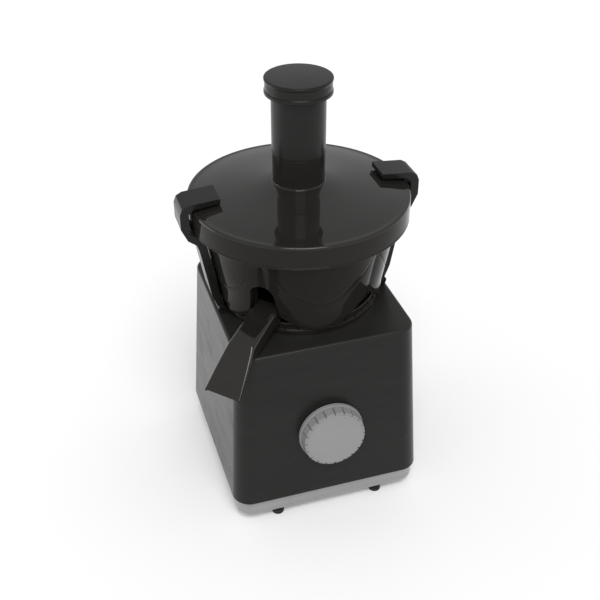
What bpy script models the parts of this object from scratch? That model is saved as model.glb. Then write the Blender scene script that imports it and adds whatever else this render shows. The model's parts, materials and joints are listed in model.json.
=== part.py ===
"""Centrifugal juicer, built as separate pieces that come apart on a bench.

The frame: origin at the centre of the base pan's flat underside, +X to the right, -Y to the front
(the side with the speed knob), +Z up. Each object is one closed piece, placed at its real size in metres.
"""
import math

import bmesh
import bpy
from mathutils import Matrix, Vector

MM = 0.001
GAP = 0.3 * MM  # air left between two pieces that touch
ROUND = 32  # sides of a large turned piece
SMALL_ROUND = 14  # sides of a small turned piece

# Housing and base pan
BODY_WIDTH = 200 * MM  # across the seam, left to right
BODY_DEPTH = 210 * MM  # across the seam, front to back
BODY_HEIGHT = 177.4 * MM  # seam to deck
BODY_DRAFT = 10.2 * MM  # how far each side leans in over that height
BODY_CORNER = 19 * MM
DECK_EDGE = 3.2 * MM
HOUSING_WALL = 2.5 * MM
PAN_HEIGHT = 22 * MM
PAN_INSET = 3 * MM
PAN_WALL = 2.5 * MM
PAN_EDGE = 4 * MM
VENT_COUNT = 7
VENT_PITCH = 9 * MM
VENT_WIDTH = 4 * MM
VENT_LENGTH = 44 * MM
VENT_OFFSET = 8 * MM  # vent rows to the middle of the pan
FOOT_RADIUS = 6.3 * MM
FOOT_HEIGHT = 6 * MM
FOOT_STEM = 2 * MM
FOOT_INSET_X = 46 * MM  # foot axis to the seam's side
FOOT_INSET_Y = 11 * MM
SCREW_SHANK = 1.7 * MM
SCREW_HEAD = 3.4 * MM
SCREW_HEAD_HEIGHT = 2.4 * MM
PAN_SCREW_LENGTH = 14 * MM
COLLAR_SCREW_LENGTH = 12 * MM
MOTOR_SCREW_LENGTH = 11 * MM
COLLAR_SCREW_CIRCLE = 36 * MM
DECK_HOLE_RADIUS = 14 * MM

# Bowl, lid and feed tube, all on one upright axis
BOWL_Y = 4.2 * MM  # axis behind the centre of the base
COLLAR_HEIGHT = 12.6 * MM
COLLAR_WALL = 4 * MM
COLLAR_FLOOR = 2.5 * MM
COLLAR_BOSS = 13 * MM
COLLAR_BORE = 10 * MM
SHAFT_SEAL_HEIGHT = 6 * MM
BOWL_WALL = 2.5 * MM
BOWL_HEIGHT = 91 * MM  # underside to rim
BOWL_CORNER = 9 * MM
BOWL_SPREAD = 9.5 * MM  # how much the wall leans out up to its shoulder
BOWL_SHOULDER_DROP = 31 * MM  # shoulder below the rim
BOWL_FLANGE_LIFT = 7 * MM  # flange's top above the lid's lower edge
BOWL_TUBE_HEIGHT = 19 * MM
OUTLET_WIDTH = 24 * MM
OUTLET_HEIGHT = 41 * MM
LID_OVERHANG = 13.95 * MM  # lid's edge beyond the bowl's shoulder
LID_WALL = 2.5 * MM
RIM_GAP = 5 * MM  # bowl's rim to the inside of the lid's skirt
LID_SKIRT = 23 * MM
LID_EDGE = 3 * MM
LID_RISE = 12 * MM  # from the rim up to the foot of the neck
LID_SOFTNESS = 0.3  # how far the cone departs from straight
SEAL_WIDTH = 2.4 * MM
SEAL_HEIGHT = 7 * MM
TUBE_RADIUS = 25.4 * MM
TUBE_WALL = 2.5 * MM
NECK_STEP = 0.5 * MM  # the neck is this much slimmer than the tube above it
NECK_HEIGHT = 30 * MM
TUBE_HEIGHT = 69.5 * MM
CHUTE_DEPTH = 62 * MM  # how far the neck reaches down into the basket

# Pusher
PUSHER_PLAY = 0.6 * MM
PUSHER_WALL = 2 * MM
CAP_OVERHANG = 6.2 * MM  # cap's edge beyond the tube
CAP_HEIGHT = 15.8 * MM
CAP_TOP = 3 * MM
CAP_WAIST = 0.7 * MM
CAP_LIP = 3 * MM
PLUNGER_RISE = 4 * MM  # plunger's end above the chute's

# Juice spout, in the upright plane that SPOUT_ANGLE gives
SPOUT_ANGLE = math.radians(223)
SPOUT_OFFSET = 9.5 * MM  # plane to the bowl's axis
SPOUT_WALL = 1.8 * MM
SPOUT_DECK_CLEARANCE = 1.6 * MM
SPOUT_REACH = 37.5 * MM  # from the deck's half width out to the bend
SPOUT_HEIGHT = 27 * MM
SPOUT_HALF_WIDTH = 13 * MM
SPOUT_TAIL = 12 * MM  # how far the tools for the hollow reach beyond the ends
# From the bend on: distance out, drop of the roof, rise of the lower edge, extra half width
SPOUT_BEND = ((-9, 10.5, 0, 0), (-3.5, 13.5, 0, 0.5), (1, 18, -1, 1.3), (16, 32.5, -11.5, 3.6),
              (32, 48.5, -23, 5.6))
SPOUT_FLOORED = 4  # sections that lie over the deck

# Motor and drive
SHAFT_RADIUS = 4 * MM
SHAFT_DROP = 34 * MM  # shaft's lower end below the lower bracket
BEARING_RADIUS = 11 * MM
BEARING_HEIGHT = 7 * MM
MOTOR_RADIUS = 45 * MM
MOTOR_DROP = 13.9 * MM  # chassis plate down to the upper bracket's plate
MOTOR_POST_PLACE = 26 * MM
MOTOR_POST_RADIUS = 4.5 * MM
MOTOR_TURNED = 24  # sides of the stator, the armature and the coupling
MOTOR_HEIGHT = 102 * MM
STATOR_HEIGHT = 42 * MM
STATOR_RISE = 21 * MM  # stator above the lower bracket's plate
STATOR_BORE = 26 * MM
WINDING_OVERHANG = 10 * MM
BRACKET_PLATE = 3 * MM
BRUSH_WIDTH = 10 * MM
BRUSH_HEIGHT = 12 * MM
COMMUTATOR_HEIGHT = 13 * MM
COMMUTATOR_RADIUS = 12 * MM
FAN_RADIUS = 36 * MM
FAN_HEIGHT = 13 * MM
FAN_BLADES = 8
FAN_HUB = 9 * MM
FAN_BLADE_START = 11 * MM
CHASSIS_PLATE = 3 * MM
CHASSIS_DROP = 6 * MM  # deck's underside to the plate's top
LEG_RADIUS = 5 * MM
LEG_INSET_X = 38 * MM  # leg axis to the seam's side
LEG_INSET_Y = 39 * MM
CHASSIS_BORE = 16 * MM
SPACER_RADIUS = 4.5 * MM
COUPLING_RADIUS = 9 * MM
COUPLING_FLANGE = 16 * MM
BASKET_WALL = 1.5 * MM
BASKET_FLOOR_RADIUS = 51 * MM
BASKET_CLEARANCE = 3 * MM  # basket floor above the bowl's tube
BASKET_RIM_DROP = 12 * MM  # basket rim below the bowl's
BASKET_RIM_HEIGHT = 4 * MM
BASKET_RIM_WIDTH = 2 * MM
DISC_THICKNESS = 1.6 * MM
BASKET_TOP_GAP = 16 * MM  # basket rim to the bowl's wall, at the shoulder
NUT_RADIUS = 10 * MM
NUT_HEIGHT = 11 * MM
SHAFT_IN_NUT = 4 * MM

# Lock arms
ARM_WIDTH = 30 * MM
ARM_THICKNESS = 4.5 * MM  # at the pivot, where the bowl's foot passes inside the arm
STRAP_THICKNESS = 8 * MM  # between the pivot and the hook
HOOK_THICKNESS = 8.5 * MM
HOOK_REACH = 27 * MM  # how far the hook covers the lid
PIVOT_INSET = 5.25 * MM  # pivot axis to the deck's edge
PIVOT_HEIGHT = 6.1 * MM
BARREL_RADIUS = 4 * MM
PIN_RADIUS = 2 * MM
EAR_WIDTH = 4 * MM
PAD_THICKNESS = 1.2 * MM
STAKE_RADIUS = 1.5 * MM
BRACKET_THICKNESS = 1.4 * MM
HOOK_CLEARANCE = 3 * MM  # hook to the lid's edge

# Speed knob, on the leaning front
KNOB_HEIGHT = 97 * MM  # axis above the pan's underside
KNOB_RADIUS = 31.5 * MM
KNOB_FLANGE_STEP = 2 * MM  # rear flange beyond the grip
KNOB_FLANGE_THICKNESS = 4 * MM
KNOB_DEPTH = 15 * MM
KNOB_WALL = 2.5 * MM
KNOB_SIDES = 36
SPINDLE_RADIUS = 3 * MM
SPINDLE_BACK = 20 * MM
SWITCH_SIZE = 28 * MM
SWITCH_DEPTH = 15 * MM
SWITCH_BUSH = 5 * MM

# Mains inlet gland
GLAND_HEIGHT = 42 * MM
GLAND_RADIUS = 7 * MM
GLAND_LENGTH = 7 * MM
GLAND_STEP = 2 * MM  # collar of the gland beyond its neck
GLAND_BORE = 2 * MM

# Electrics inside the base
BOARD_SIZE = (70 * MM, 36 * MM, 1.6 * MM)
BOARD_INSET = 31 * MM  # middle of the board to the seam's back
BOARD_HEIGHT = 9 * MM
# Things soldered to the board: size, then place across and along from its middle
BOARD_LOAD = (("filter_can", (18 * MM, 14 * MM, 16 * MM), -20 * MM, 0),
              ("drive_triac", (10 * MM, 6 * MM, 18 * MM), 8 * MM, 6 * MM),
              ("terminal_row", (22 * MM, 9 * MM, 10 * MM), 20 * MM, -8 * MM))
BOARD_SINK = 0.4 * MM  # how deep they are set in the board
INTERLOCK_WIDTH = 9 * MM
INTERLOCK_LENGTH = 20 * MM
INTERLOCK_INSET = 2 * MM  # inwards from the chassis legs

# Places worked out from the sizes above
SEAM = PAN_HEIGHT
DECK = SEAM + BODY_HEIGHT
DECK_HALF_WIDTH = BODY_WIDTH / 2 - BODY_DRAFT
DECK_UNDERSIDE = DECK - HOUSING_WALL
PIVOT_X = DECK_HALF_WIDTH - PIVOT_INSET
PIVOT_Z = DECK + PIVOT_HEIGHT
COLLAR_RADIUS = PIVOT_X - BARREL_RADIUS - 5 * GAP
BOWL_BOTTOM = DECK + COLLAR_HEIGHT + 2 * GAP
BOWL_RIM = BOWL_BOTTOM + BOWL_HEIGHT
BOWL_SHOULDER_Z = BOWL_RIM - BOWL_SHOULDER_DROP
BOWL_LOW_RADIUS = COLLAR_RADIUS + ARM_THICKNESS
BOWL_HIGH_RADIUS = BOWL_LOW_RADIUS + BOWL_SPREAD
LID_RADIUS = BOWL_HIGH_RADIUS + LID_OVERHANG
LID_INNER = LID_RADIUS - LID_WALL
RIM_RADIUS = LID_INNER - RIM_GAP
FLANGE_RADIUS = LID_INNER - 2 * GAP
LID_UNDERSIDE = BOWL_RIM + SEAL_HEIGHT + 2 * GAP
LID_TOP = LID_UNDERSIDE + LID_WALL
SKIRT_BOTTOM = LID_TOP - LID_SKIRT
NECK_RADIUS = TUBE_RADIUS - NECK_STEP
TUBE_BORE = TUBE_RADIUS - TUBE_WALL
NECK_TOP = LID_TOP + LID_RISE + NECK_HEIGHT
CHUTE_BOTTOM = NECK_TOP - NECK_HEIGHT - CHUTE_DEPTH
TUBE_TOP = NECK_TOP + TUBE_HEIGHT
CAP_RADIUS = TUBE_RADIUS + CAP_OVERHANG
CAP_BORE = TUBE_RADIUS + 2 * GAP
CAP_UNDERSIDE = TUBE_TOP + GAP
CAP_BOTTOM = CAP_UNDERSIDE + CAP_TOP - CAP_HEIGHT
CHASSIS_TOP = DECK_UNDERSIDE - CHASSIS_DROP
CHASSIS_BOTTOM = CHASSIS_TOP - CHASSIS_PLATE
MOTOR_TOP = CHASSIS_BOTTOM - MOTOR_DROP
MOTOR_BOTTOM = MOTOR_TOP - MOTOR_HEIGHT
SHAFT_BOTTOM = MOTOR_BOTTOM - SHAFT_DROP
STATOR_BOTTOM = MOTOR_BOTTOM + STATOR_RISE
STATOR_TOP = STATOR_BOTTOM + STATOR_HEIGHT
BASKET_FLOOR = BOWL_BOTTOM + BOWL_TUBE_HEIGHT + BASKET_CLEARANCE
BASKET_RIM = BOWL_RIM - BASKET_RIM_DROP
BASKET_TOP_RADIUS = BOWL_HIGH_RADIUS - BASKET_TOP_GAP
DISC_BOTTOM = BASKET_FLOOR + BASKET_WALL + GAP
NUT_BOTTOM = DISC_BOTTOM + DISC_THICKNESS + GAP
SHAFT_TOP = NUT_BOTTOM + SHAFT_IN_NUT
KNOB_FLANGE = KNOB_RADIUS + KNOB_FLANGE_STEP
LEG_X = BODY_WIDTH / 2 - LEG_INSET_X
LEG_Y = BODY_DEPTH / 2 - LEG_INSET_Y
HOLE_RADIUS = SCREW_SHANK + GAP
LEAN = math.atan2(BODY_DRAFT, BODY_HEIGHT)
SIDES = (("left", -1), ("right", 1))
BOWL_AXIS = Matrix.Translation((0, BOWL_Y, 0))

parts = bpy.data.collections.new("centrifugal_juicer")
cutters = bpy.data.collections.new("cutters")


# ---------------------------------------------------------------- helpers

def material(name, color, roughness, metallic=0.0):
    """A plain Principled finish, made once for each name."""
    found = bpy.data.materials.get(name)
    if found:
        return found
    made = bpy.data.materials.new(name)
    made.use_nodes = True
    shader = made.node_tree.nodes["Principled BSDF"]
    shader.inputs["Base Color"].default_value = (*color, 1)
    shader.inputs["Roughness"].default_value = roughness
    shader.inputs["Metallic"].default_value = metallic
    return made


def black_plastic():
    return material("black_plastic", (0.035, 0.033, 0.031), 0.32)


def smoky_plastic():
    return material("smoky_plastic", (0.03, 0.028, 0.026), 0.12)


def silver_plastic():
    return material("silver_plastic", (0.34, 0.34, 0.35), 0.35)


def knob_plastic():
    return material("knob_plastic", (0.32, 0.32, 0.32), 0.42)


def rubber():
    return material("rubber", (0.02, 0.02, 0.02), 0.8)


def steel():
    return material("steel", (0.55, 0.55, 0.56), 0.3, 1.0)


def laminations():
    return material("laminations", (0.2, 0.19, 0.18), 0.45, 1.0)


def copper():
    return material("copper", (0.7, 0.32, 0.15), 0.35, 1.0)


def white_plastic():
    return material("white_plastic", (0.7, 0.7, 0.66), 0.5)


def board_green():
    return material("board_green", (0.03, 0.16, 0.06), 0.5)


def add(name, mesh, finish, matrix=None, parent=None):
    """Put a mesh or curve in the scene as a piece, or as a cutter when it has no finish."""
    obj = bpy.data.objects.new(name, mesh)
    if finish:
        mesh.materials.append(finish)
        parts.objects.link(obj)
    else:
        cutters.objects.link(obj)
        obj.hide_render = True
        obj.display_type = "WIRE"
    if parent:
        obj.parent = parent
    if matrix is not None:
        obj.matrix_local = matrix
    return obj


def axis_empty(name, location, rotation=(0, 0, 0)):
    """An empty on a joint's axis, for the moving pieces to hang on."""
    obj = bpy.data.objects.new(name, None)
    obj.location = location
    obj.rotation_euler = rotation
    obj.empty_display_size = 10 * MM
    parts.objects.link(obj)
    return obj


def turned(name, profile, finish, matrix=None, parent=None, closed=True, steps=ROUND):
    """Turn a profile of (radius, height) about Z. It runs down its outer side first."""
    count = len(profile)
    edges = [(i, i + 1) for i in range(count - 1)]
    if closed:
        edges.append((count - 1, 0))
    mesh = bpy.data.meshes.new(name)
    mesh.from_pydata([(radius, 0, height) for radius, height in profile], edges, [])
    obj = add(name, mesh, finish, matrix, parent)
    screw = obj.modifiers.new("turn", "SCREW")
    screw.steps = steps
    screw.render_steps = steps
    screw.use_merge_vertices = True
    screw.merge_threshold = 0.01 * MM
    screw.use_smooth_shade = True
    return obj


def ring(name, inner, outer, low, high, finish, matrix=None, parent=None, steps=SMALL_ROUND):
    """A plain ring, or a disc when it has no inner radius."""
    if inner > 0:
        profile = [(outer, high), (outer, low), (inner, low), (inner, high)]
        return turned(name, profile, finish, matrix, parent, True, steps)
    profile = [(0, high), (outer, high), (outer, low), (0, low)]
    return turned(name, profile, finish, matrix, parent, False, steps)


def block(name, size, centre, finish, matrix=None, parent=None):
    """A rectangular block about a centre."""
    mesh = bpy.data.meshes.new(name)
    shape = bmesh.new()
    bmesh.ops.create_cube(shape, size=1)
    bmesh.ops.scale(shape, vec=size, verts=shape.verts)
    bmesh.ops.translate(shape, vec=centre, verts=shape.verts)
    shape.to_mesh(mesh)
    shape.free()
    return add(name, mesh, finish, matrix, parent)


def flat_outline(name, loops, thickness, finish, matrix=None, parent=None):
    """A flat plate from closed outlines, later ones being holes, centred on its own XY plane."""
    curve = bpy.data.curves.new(name, "CURVE")
    curve.dimensions = "2D"
    curve.fill_mode = "BOTH"
    curve.extrude = thickness / 2
    for loop in loops:
        spline = curve.splines.new("POLY")
        spline.points.add(len(loop) - 1)
        for point, place in zip(spline.points, loop):
            point.co = (place[0], place[1], 0, 1)
        spline.use_cyclic_u = True
    obj = add(name, curve, finish, matrix, parent)
    weld = obj.modifiers.new("weld", "WELD")
    weld.merge_threshold = 0.01 * MM
    return obj


def as_mesh(obj):
    """Replace a curve object with the mesh it makes, its caps welded."""
    bpy.context.view_layer.update()
    evaluated = obj.evaluated_get(bpy.context.evaluated_depsgraph_get())
    mesh = bpy.data.meshes.new_from_object(evaluated)
    shape = bmesh.new()
    shape.from_mesh(mesh)
    bmesh.ops.remove_doubles(shape, verts=shape.verts, dist=0.01 * MM)
    shape.to_mesh(mesh)
    shape.free()
    name = obj.name
    matrix = obj.matrix_world.copy()
    bpy.data.objects.remove(obj, do_unlink=True)
    return add(name, mesh, None, matrix)


def combine(obj, other, operation):
    """A Boolean between a piece and a cutter."""
    boolean = obj.modifiers.new(operation.lower(), "BOOLEAN")
    boolean.operation = operation
    boolean.object = other


def cut(obj, *others):
    for other in others:
        combine(obj, other, "DIFFERENCE")


def join(obj, *others):
    for other in others:
        combine(obj, other, "UNION")


def peg(name, radius, low, high, x=0.0, y=0.0, steps=SMALL_ROUND):
    """An upright round tool for a Boolean."""
    return ring(name, 0, radius, low, high, None, Matrix.Translation((x, y, 0)), None, steps)


def arc(centre, radius, start, end, count):
    """Points on an arc, angles in degrees."""
    points = []
    for i in range(count + 1):
        angle = math.radians(start + (end - start) * i / count)
        points.append((centre[0] + radius * math.cos(angle), centre[1] + radius * math.sin(angle)))
    return points


def rounded_box(name, width, depth, height, draft, corner, edge, edge_at_top, finish):
    """An upright box with leaning sides, round corners and one rounded rim, open on the other side."""
    mesh = bpy.data.meshes.new(name)
    shape = bmesh.new()
    bmesh.ops.create_cube(shape, size=1)
    bmesh.ops.scale(shape, vec=(width, depth, height), verts=shape.verts)
    for vert in shape.verts:
        if vert.co.z > 0:
            vert.co.x -= math.copysign(draft, vert.co.x)
            vert.co.y -= math.copysign(draft, vert.co.y)
        vert.co.z += height / 2
    uprights = [e for e in shape.edges if abs(e.verts[0].co.z - e.verts[1].co.z) > height / 2]
    bmesh.ops.bevel(shape, geom=uprights, offset=corner, segments=6, profile=0.5, affect="EDGES")
    level = height if edge_at_top else 0
    rim = [e for e in shape.edges if all(abs(v.co.z - level) < GAP for v in e.verts)]
    bmesh.ops.bevel(shape, geom=rim, offset=edge, segments=3, profile=0.5, affect="EDGES")
    opening = 0 if edge_at_top else height
    faces = [f for f in shape.faces if all(abs(v.co.z - opening) < GAP for v in f.verts)]
    bmesh.ops.delete(shape, geom=faces, context="FACES")
    shape.to_mesh(mesh)
    shape.free()
    return add(name, mesh, finish)


def thicken(obj, wall):
    """Give an open shell its wall, on the inside."""
    solid = obj.modifiers.new("wall", "SOLIDIFY")
    solid.thickness = wall
    solid.offset = -1
    solid.use_even_offset = True


def front_matrix(height):
    """The frame of the leaning front at a height: X to the right, Z straight out of the face."""
    y = -BODY_DEPTH / 2 + BODY_DRAFT * (height - SEAM) / BODY_HEIGHT
    return Matrix.Translation((0, y, height)) @ Matrix.Rotation(math.pi / 2 - LEAN, 4, "X")


def collar_screw_places():
    """Three places on a circle about the bowl's axis."""
    places = []
    for i in range(3):
        angle = math.radians(90 + 120 * i)
        across = COLLAR_SCREW_CIRCLE * math.cos(angle)
        along = COLLAR_SCREW_CIRCLE * math.sin(angle)
        places.append((across, BOWL_Y + along))
    return places


def corner_places(x, y, shift=0.0):
    return [(-x, -y + shift), (x, -y + shift), (x, y + shift), (-x, y + shift)]


def motor_post_places():
    return corner_places(MOTOR_POST_PLACE, MOTOR_POST_PLACE, BOWL_Y)


# ---------------------------------------------------------------- housing and base

def make_housing():
    housing = rounded_box("housing", BODY_WIDTH, BODY_DEPTH, BODY_HEIGHT, BODY_DRAFT, BODY_CORNER,
                          DECK_EDGE, True, black_plastic())
    housing.location.z = SEAM
    thicken(housing, HOUSING_WALL)
    low = DECK_UNDERSIDE - 2 * MM
    high = DECK + 2 * MM
    cut(housing, peg("deck_hole", DECK_HOLE_RADIUS, low, high, 0, BOWL_Y, ROUND))
    for i, (x, y) in enumerate(collar_screw_places()):
        cut(housing, peg("deck_screw_hole_%d" % (i + 1), HOLE_RADIUS, low, high, x, y))
    for side, sign in SIDES:
        place = (sign * PIVOT_X, BOWL_Y)
        cut(housing, peg("deck_stake_hole_" + side, STAKE_RADIUS + GAP, low, high, *place))
    switch_hole = ring("switch_hole", 0, SWITCH_BUSH, -2 * HOUSING_WALL, HOUSING_WALL, None,
                       front_matrix(KNOB_HEIGHT))
    back_y = BODY_DEPTH / 2 - BODY_DRAFT * (GLAND_HEIGHT - SEAM) / BODY_HEIGHT
    turn = Matrix.Rotation(-math.pi / 2, 4, "X")
    gland_hole = ring("gland_hole", 0, GLAND_RADIUS - GLAND_STEP + GAP, -3 * HOUSING_WALL, 3 * HOUSING_WALL,
                      None, Matrix.Translation((0, back_y, GLAND_HEIGHT)) @ turn)
    cut(housing, switch_hole, gland_hole)
    return back_y


def make_base_pan():
    pan = rounded_box("base_pan", BODY_WIDTH - 2 * PAN_INSET, BODY_DEPTH - 2 * PAN_INSET,
                      PAN_HEIGHT - GAP, 0, BODY_CORNER - PAN_INSET, PAN_EDGE, False, silver_plastic())
    thicken(pan, PAN_WALL)
    for i, (x, y) in enumerate(corner_places(LEG_X, LEG_Y)):
        cut(pan, peg("pan_screw_hole_%d" % (i + 1), HOLE_RADIUS, -2 * MM, 2 * PAN_WALL, x, y))
    for i, (x, y) in enumerate(foot_places()):
        cut(pan, peg("foot_hole_%d" % (i + 1), FOOT_STEM + GAP, -2 * MM, 2 * PAN_WALL, x, y))
    for i in range(VENT_COUNT):
        x = (i - (VENT_COUNT - 1) / 2) * VENT_PITCH
        for row, sign in (("front", -1), ("back", 1)):
            y = sign * (VENT_LENGTH / 2 + VENT_OFFSET)
            slot = block("vent_%s_%d" % (row, i + 1), (VENT_WIDTH, VENT_LENGTH, 4 * PAN_WALL),
                         (x, y, PAN_WALL / 2), None)
            cut(pan, slot)


def foot_places():
    return corner_places(BODY_WIDTH / 2 - FOOT_INSET_X, BODY_DEPTH / 2 - FOOT_INSET_Y)


def make_feet_and_pan_screws():
    for i, (x, y) in enumerate(foot_places()):
        top = PAN_WALL + 1 * MM
        edge = 0.8 * MM
        profile = [(0, top), (FOOT_STEM, top), (FOOT_STEM, -GAP), (FOOT_RADIUS, -GAP),
                   (FOOT_RADIUS, -FOOT_HEIGHT + edge), (FOOT_RADIUS - edge, -FOOT_HEIGHT),
                   (0, -FOOT_HEIGHT)]
        turned("foot_%d" % (i + 1), profile, rubber(), Matrix.Translation((x, y, 0)), None, False,
               SMALL_ROUND)
    for i, (x, y) in enumerate(corner_places(LEG_X, LEG_Y)):
        screw("pan_screw_%d" % (i + 1), x, y, -GAP, PAN_SCREW_LENGTH, -1)


def screw(name, x, y, seat, length, up):
    """A pan-head screw. Its head lies above its seat when up is 1, and below it when up is -1."""
    head = SCREW_HEAD_HEIGHT * up
    outline = [(0, seat + head), (SCREW_HEAD - 0.6 * MM, seat + head),
               (SCREW_HEAD, seat + head * 0.7), (SCREW_HEAD, seat),
               (SCREW_SHANK, seat), (SCREW_SHANK, seat - length * up), (0, seat - length * up)]
    if up < 0:
        outline.reverse()
    turned(name, outline, steel(), Matrix.Translation((x, y, 0)), None, False, 12)


def make_chassis():
    """The inner frame that carries the motor, standing on the base pan and screwed up to the collar."""
    chassis = block("chassis", (2 * LEG_X + 2 * LEG_RADIUS, 2 * LEG_Y + 2 * LEG_RADIUS, CHASSIS_PLATE),
                    (0, 0, CHASSIS_TOP - CHASSIS_PLATE / 2), laminations())
    foot = PAN_WALL + GAP
    for i, (x, y) in enumerate(corner_places(LEG_X, LEG_Y)):
        join(chassis, peg("leg_%d" % (i + 1), LEG_RADIUS, foot, CHASSIS_TOP - MM, x, y))
        cut(chassis, peg("leg_hole_%d" % (i + 1), HOLE_RADIUS, foot - 2 * MM,
                         foot + PAN_SCREW_LENGTH, x, y))
    for i, (x, y) in enumerate(collar_screw_places()):
        join(chassis, peg("spacer_%d" % (i + 1), SPACER_RADIUS, CHASSIS_TOP - MM,
                          DECK_UNDERSIDE - GAP, x, y))
        cut(chassis, peg("spacer_hole_%d" % (i + 1), HOLE_RADIUS, CHASSIS_BOTTOM - MM,
                         DECK_UNDERSIDE + MM, x, y))
    cut(chassis, peg("chassis_bore", CHASSIS_BORE, CHASSIS_BOTTOM - MM, CHASSIS_TOP + MM, 0, BOWL_Y, ROUND))
    for i, (x, y) in enumerate(motor_post_places()):
        cut(chassis, peg("motor_screw_hole_%d" % (i + 1), HOLE_RADIUS, CHASSIS_BOTTOM - MM,
                         CHASSIS_TOP + MM, x, y))
        screw("motor_screw_%d" % (i + 1), x, y, CHASSIS_TOP + GAP, MOTOR_SCREW_LENGTH, 1)


def make_collar():
    """The ring that the bowl stands on, with a boss for the shaft seal."""
    low = DECK + GAP
    floor = low + COLLAR_FLOOR
    top = DECK + COLLAR_HEIGHT
    inside = COLLAR_RADIUS - COLLAR_WALL
    edge = 1 * MM
    boss_top = top - 1.5 * MM
    profile = [(COLLAR_RADIUS - edge, top), (COLLAR_RADIUS, top - edge), (COLLAR_RADIUS, low),
               (COLLAR_BORE, low), (COLLAR_BORE, boss_top), (COLLAR_BOSS, boss_top), (COLLAR_BOSS, floor),
               (inside, floor), (inside, top)]
    collar = turned("deck_collar", profile, smoky_plastic(), BOWL_AXIS)
    for i, (x, y) in enumerate(collar_screw_places()):
        cut(collar, peg("collar_screw_hole_%d" % (i + 1), HOLE_RADIUS, low - MM, floor + MM, x, y))
        screw("collar_screw_%d" % (i + 1), x, y, floor + GAP, COLLAR_SCREW_LENGTH, 1)
    ring("shaft_seal", SHAFT_RADIUS + GAP, COLLAR_BORE - GAP, low + edge, low + edge + SHAFT_SEAL_HEIGHT,
         rubber(), BOWL_AXIS)


# ---------------------------------------------------------------- bowl, spout and lid

def bowl_outside(grow=0.0):
    """The bowl's outer wall from rim to underside, grown outwards by a clearance."""
    corner = BOWL_CORNER + grow
    centre = (BOWL_LOW_RADIUS - BOWL_CORNER, BOWL_BOTTOM + BOWL_CORNER)
    points = [(RIM_RADIUS + grow, BOWL_RIM), (RIM_RADIUS + grow, BOWL_RIM - 8 * MM)]
    points.append((BOWL_HIGH_RADIUS + grow, BOWL_SHOULDER_Z))
    points += arc(centre, corner, 0, -90, 4)
    return points


def make_bowl():
    inner_corner = BOWL_CORNER - BOWL_WALL
    floor = BOWL_BOTTOM + BOWL_WALL
    centre = (BOWL_LOW_RADIUS - BOWL_CORNER, BOWL_BOTTOM + BOWL_CORNER)
    tube_top = BOWL_BOTTOM + BOWL_TUBE_HEIGHT
    bore = COUPLING_RADIUS + 2 * MM
    flange_top = SKIRT_BOTTOM + BOWL_FLANGE_LIFT
    outside = bowl_outside()
    flange = [(FLANGE_RADIUS, flange_top), (FLANGE_RADIUS, flange_top - BOWL_WALL)]
    profile = outside[:1] + [(RIM_RADIUS, flange_top)] + flange
    profile += [(RIM_RADIUS, flange_top - BOWL_WALL)] + outside[2:]
    profile += [(bore, BOWL_BOTTOM), (bore, tube_top), (bore + BOWL_WALL, tube_top),
                (bore + BOWL_WALL, floor)]
    profile += arc(centre, inner_corner, -90, 0, 4)
    profile += [(BOWL_HIGH_RADIUS - BOWL_WALL, BOWL_SHOULDER_Z),
                (RIM_RADIUS - BOWL_WALL, flange_top - BOWL_WALL), (RIM_RADIUS - BOWL_WALL, BOWL_RIM)]
    bowl = turned("bowl", profile, smoky_plastic(), BOWL_AXIS)
    half = OUTLET_WIDTH / 2
    arch = [(-half, 0), (half, 0)] + arc((0, OUTLET_HEIGHT - half), half, 0, 180, 8)
    along = spout_frame() @ Matrix.Translation((BOWL_LOW_RADIUS, 0, floor + GAP))
    outlet = flat_outline("outlet", [arch], 60 * MM, None, along @ stand_up())
    cut(bowl, as_mesh(outlet))
    return bowl


def stand_up():
    """Turns a flat outline upright, so that it faces along X with its own Y pointing up."""
    return Matrix(((0, 0, 1, 0), (1, 0, 0, 0), (0, 1, 0, 0), (0, 0, 0, 1)))


def spout_frame():
    """Along the spout: X outwards, Y across, and Z up, from the foot of the bowl's axis."""
    across = Vector((-math.sin(SPOUT_ANGLE), math.cos(SPOUT_ANGLE), 0)) * SPOUT_OFFSET
    return BOWL_AXIS @ Matrix.Translation(across) @ Matrix.Rotation(SPOUT_ANGLE, 4, "Z")


def spout_stations():
    """Along the spout: distance out, height of roof, height of lower edge, half width."""
    bend = DECK_HALF_WIDTH + SPOUT_REACH
    low = DECK + SPOUT_DECK_CLEARANCE
    roof = low + SPOUT_HEIGHT
    start = BOWL_LOW_RADIUS - 14 * MM
    root = BOWL_LOW_RADIUS + 3.5 * MM
    stations = [(start, roof + 5.4 * MM, BOWL_BOTTOM, SPOUT_HALF_WIDTH),
                (root, roof, BOWL_BOTTOM, SPOUT_HALF_WIDTH)]
    for out, drop, rise, extra in SPOUT_BEND:
        stations.append((bend + out * MM, roof - drop * MM, low + rise * MM, SPOUT_HALF_WIDTH + extra * MM))
    return stations


def lofted(name, stations, finish, matrix):
    """A closed body through four-cornered sections, each given by distance, top, bottom and half width."""
    shape = bmesh.new()
    rows = []
    for x, top, bottom, half in stations:
        corners = ((half, bottom), (half, top), (-half, top), (-half, bottom))
        rows.append([shape.verts.new((x, y, z)) for y, z in corners])
    for first, second in zip(rows, rows[1:]):
        for i in range(4):
            k = (i + 1) % 4
            shape.faces.new((first[i], first[k], second[k], second[i]))
    shape.faces.new(rows[0])
    shape.faces.new(list(reversed(rows[-1])))
    bmesh.ops.recalc_face_normals(shape, faces=shape.faces)
    mesh = bpy.data.meshes.new(name)
    shape.to_mesh(mesh)
    shape.free()
    return add(name, mesh, finish, matrix)


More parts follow.
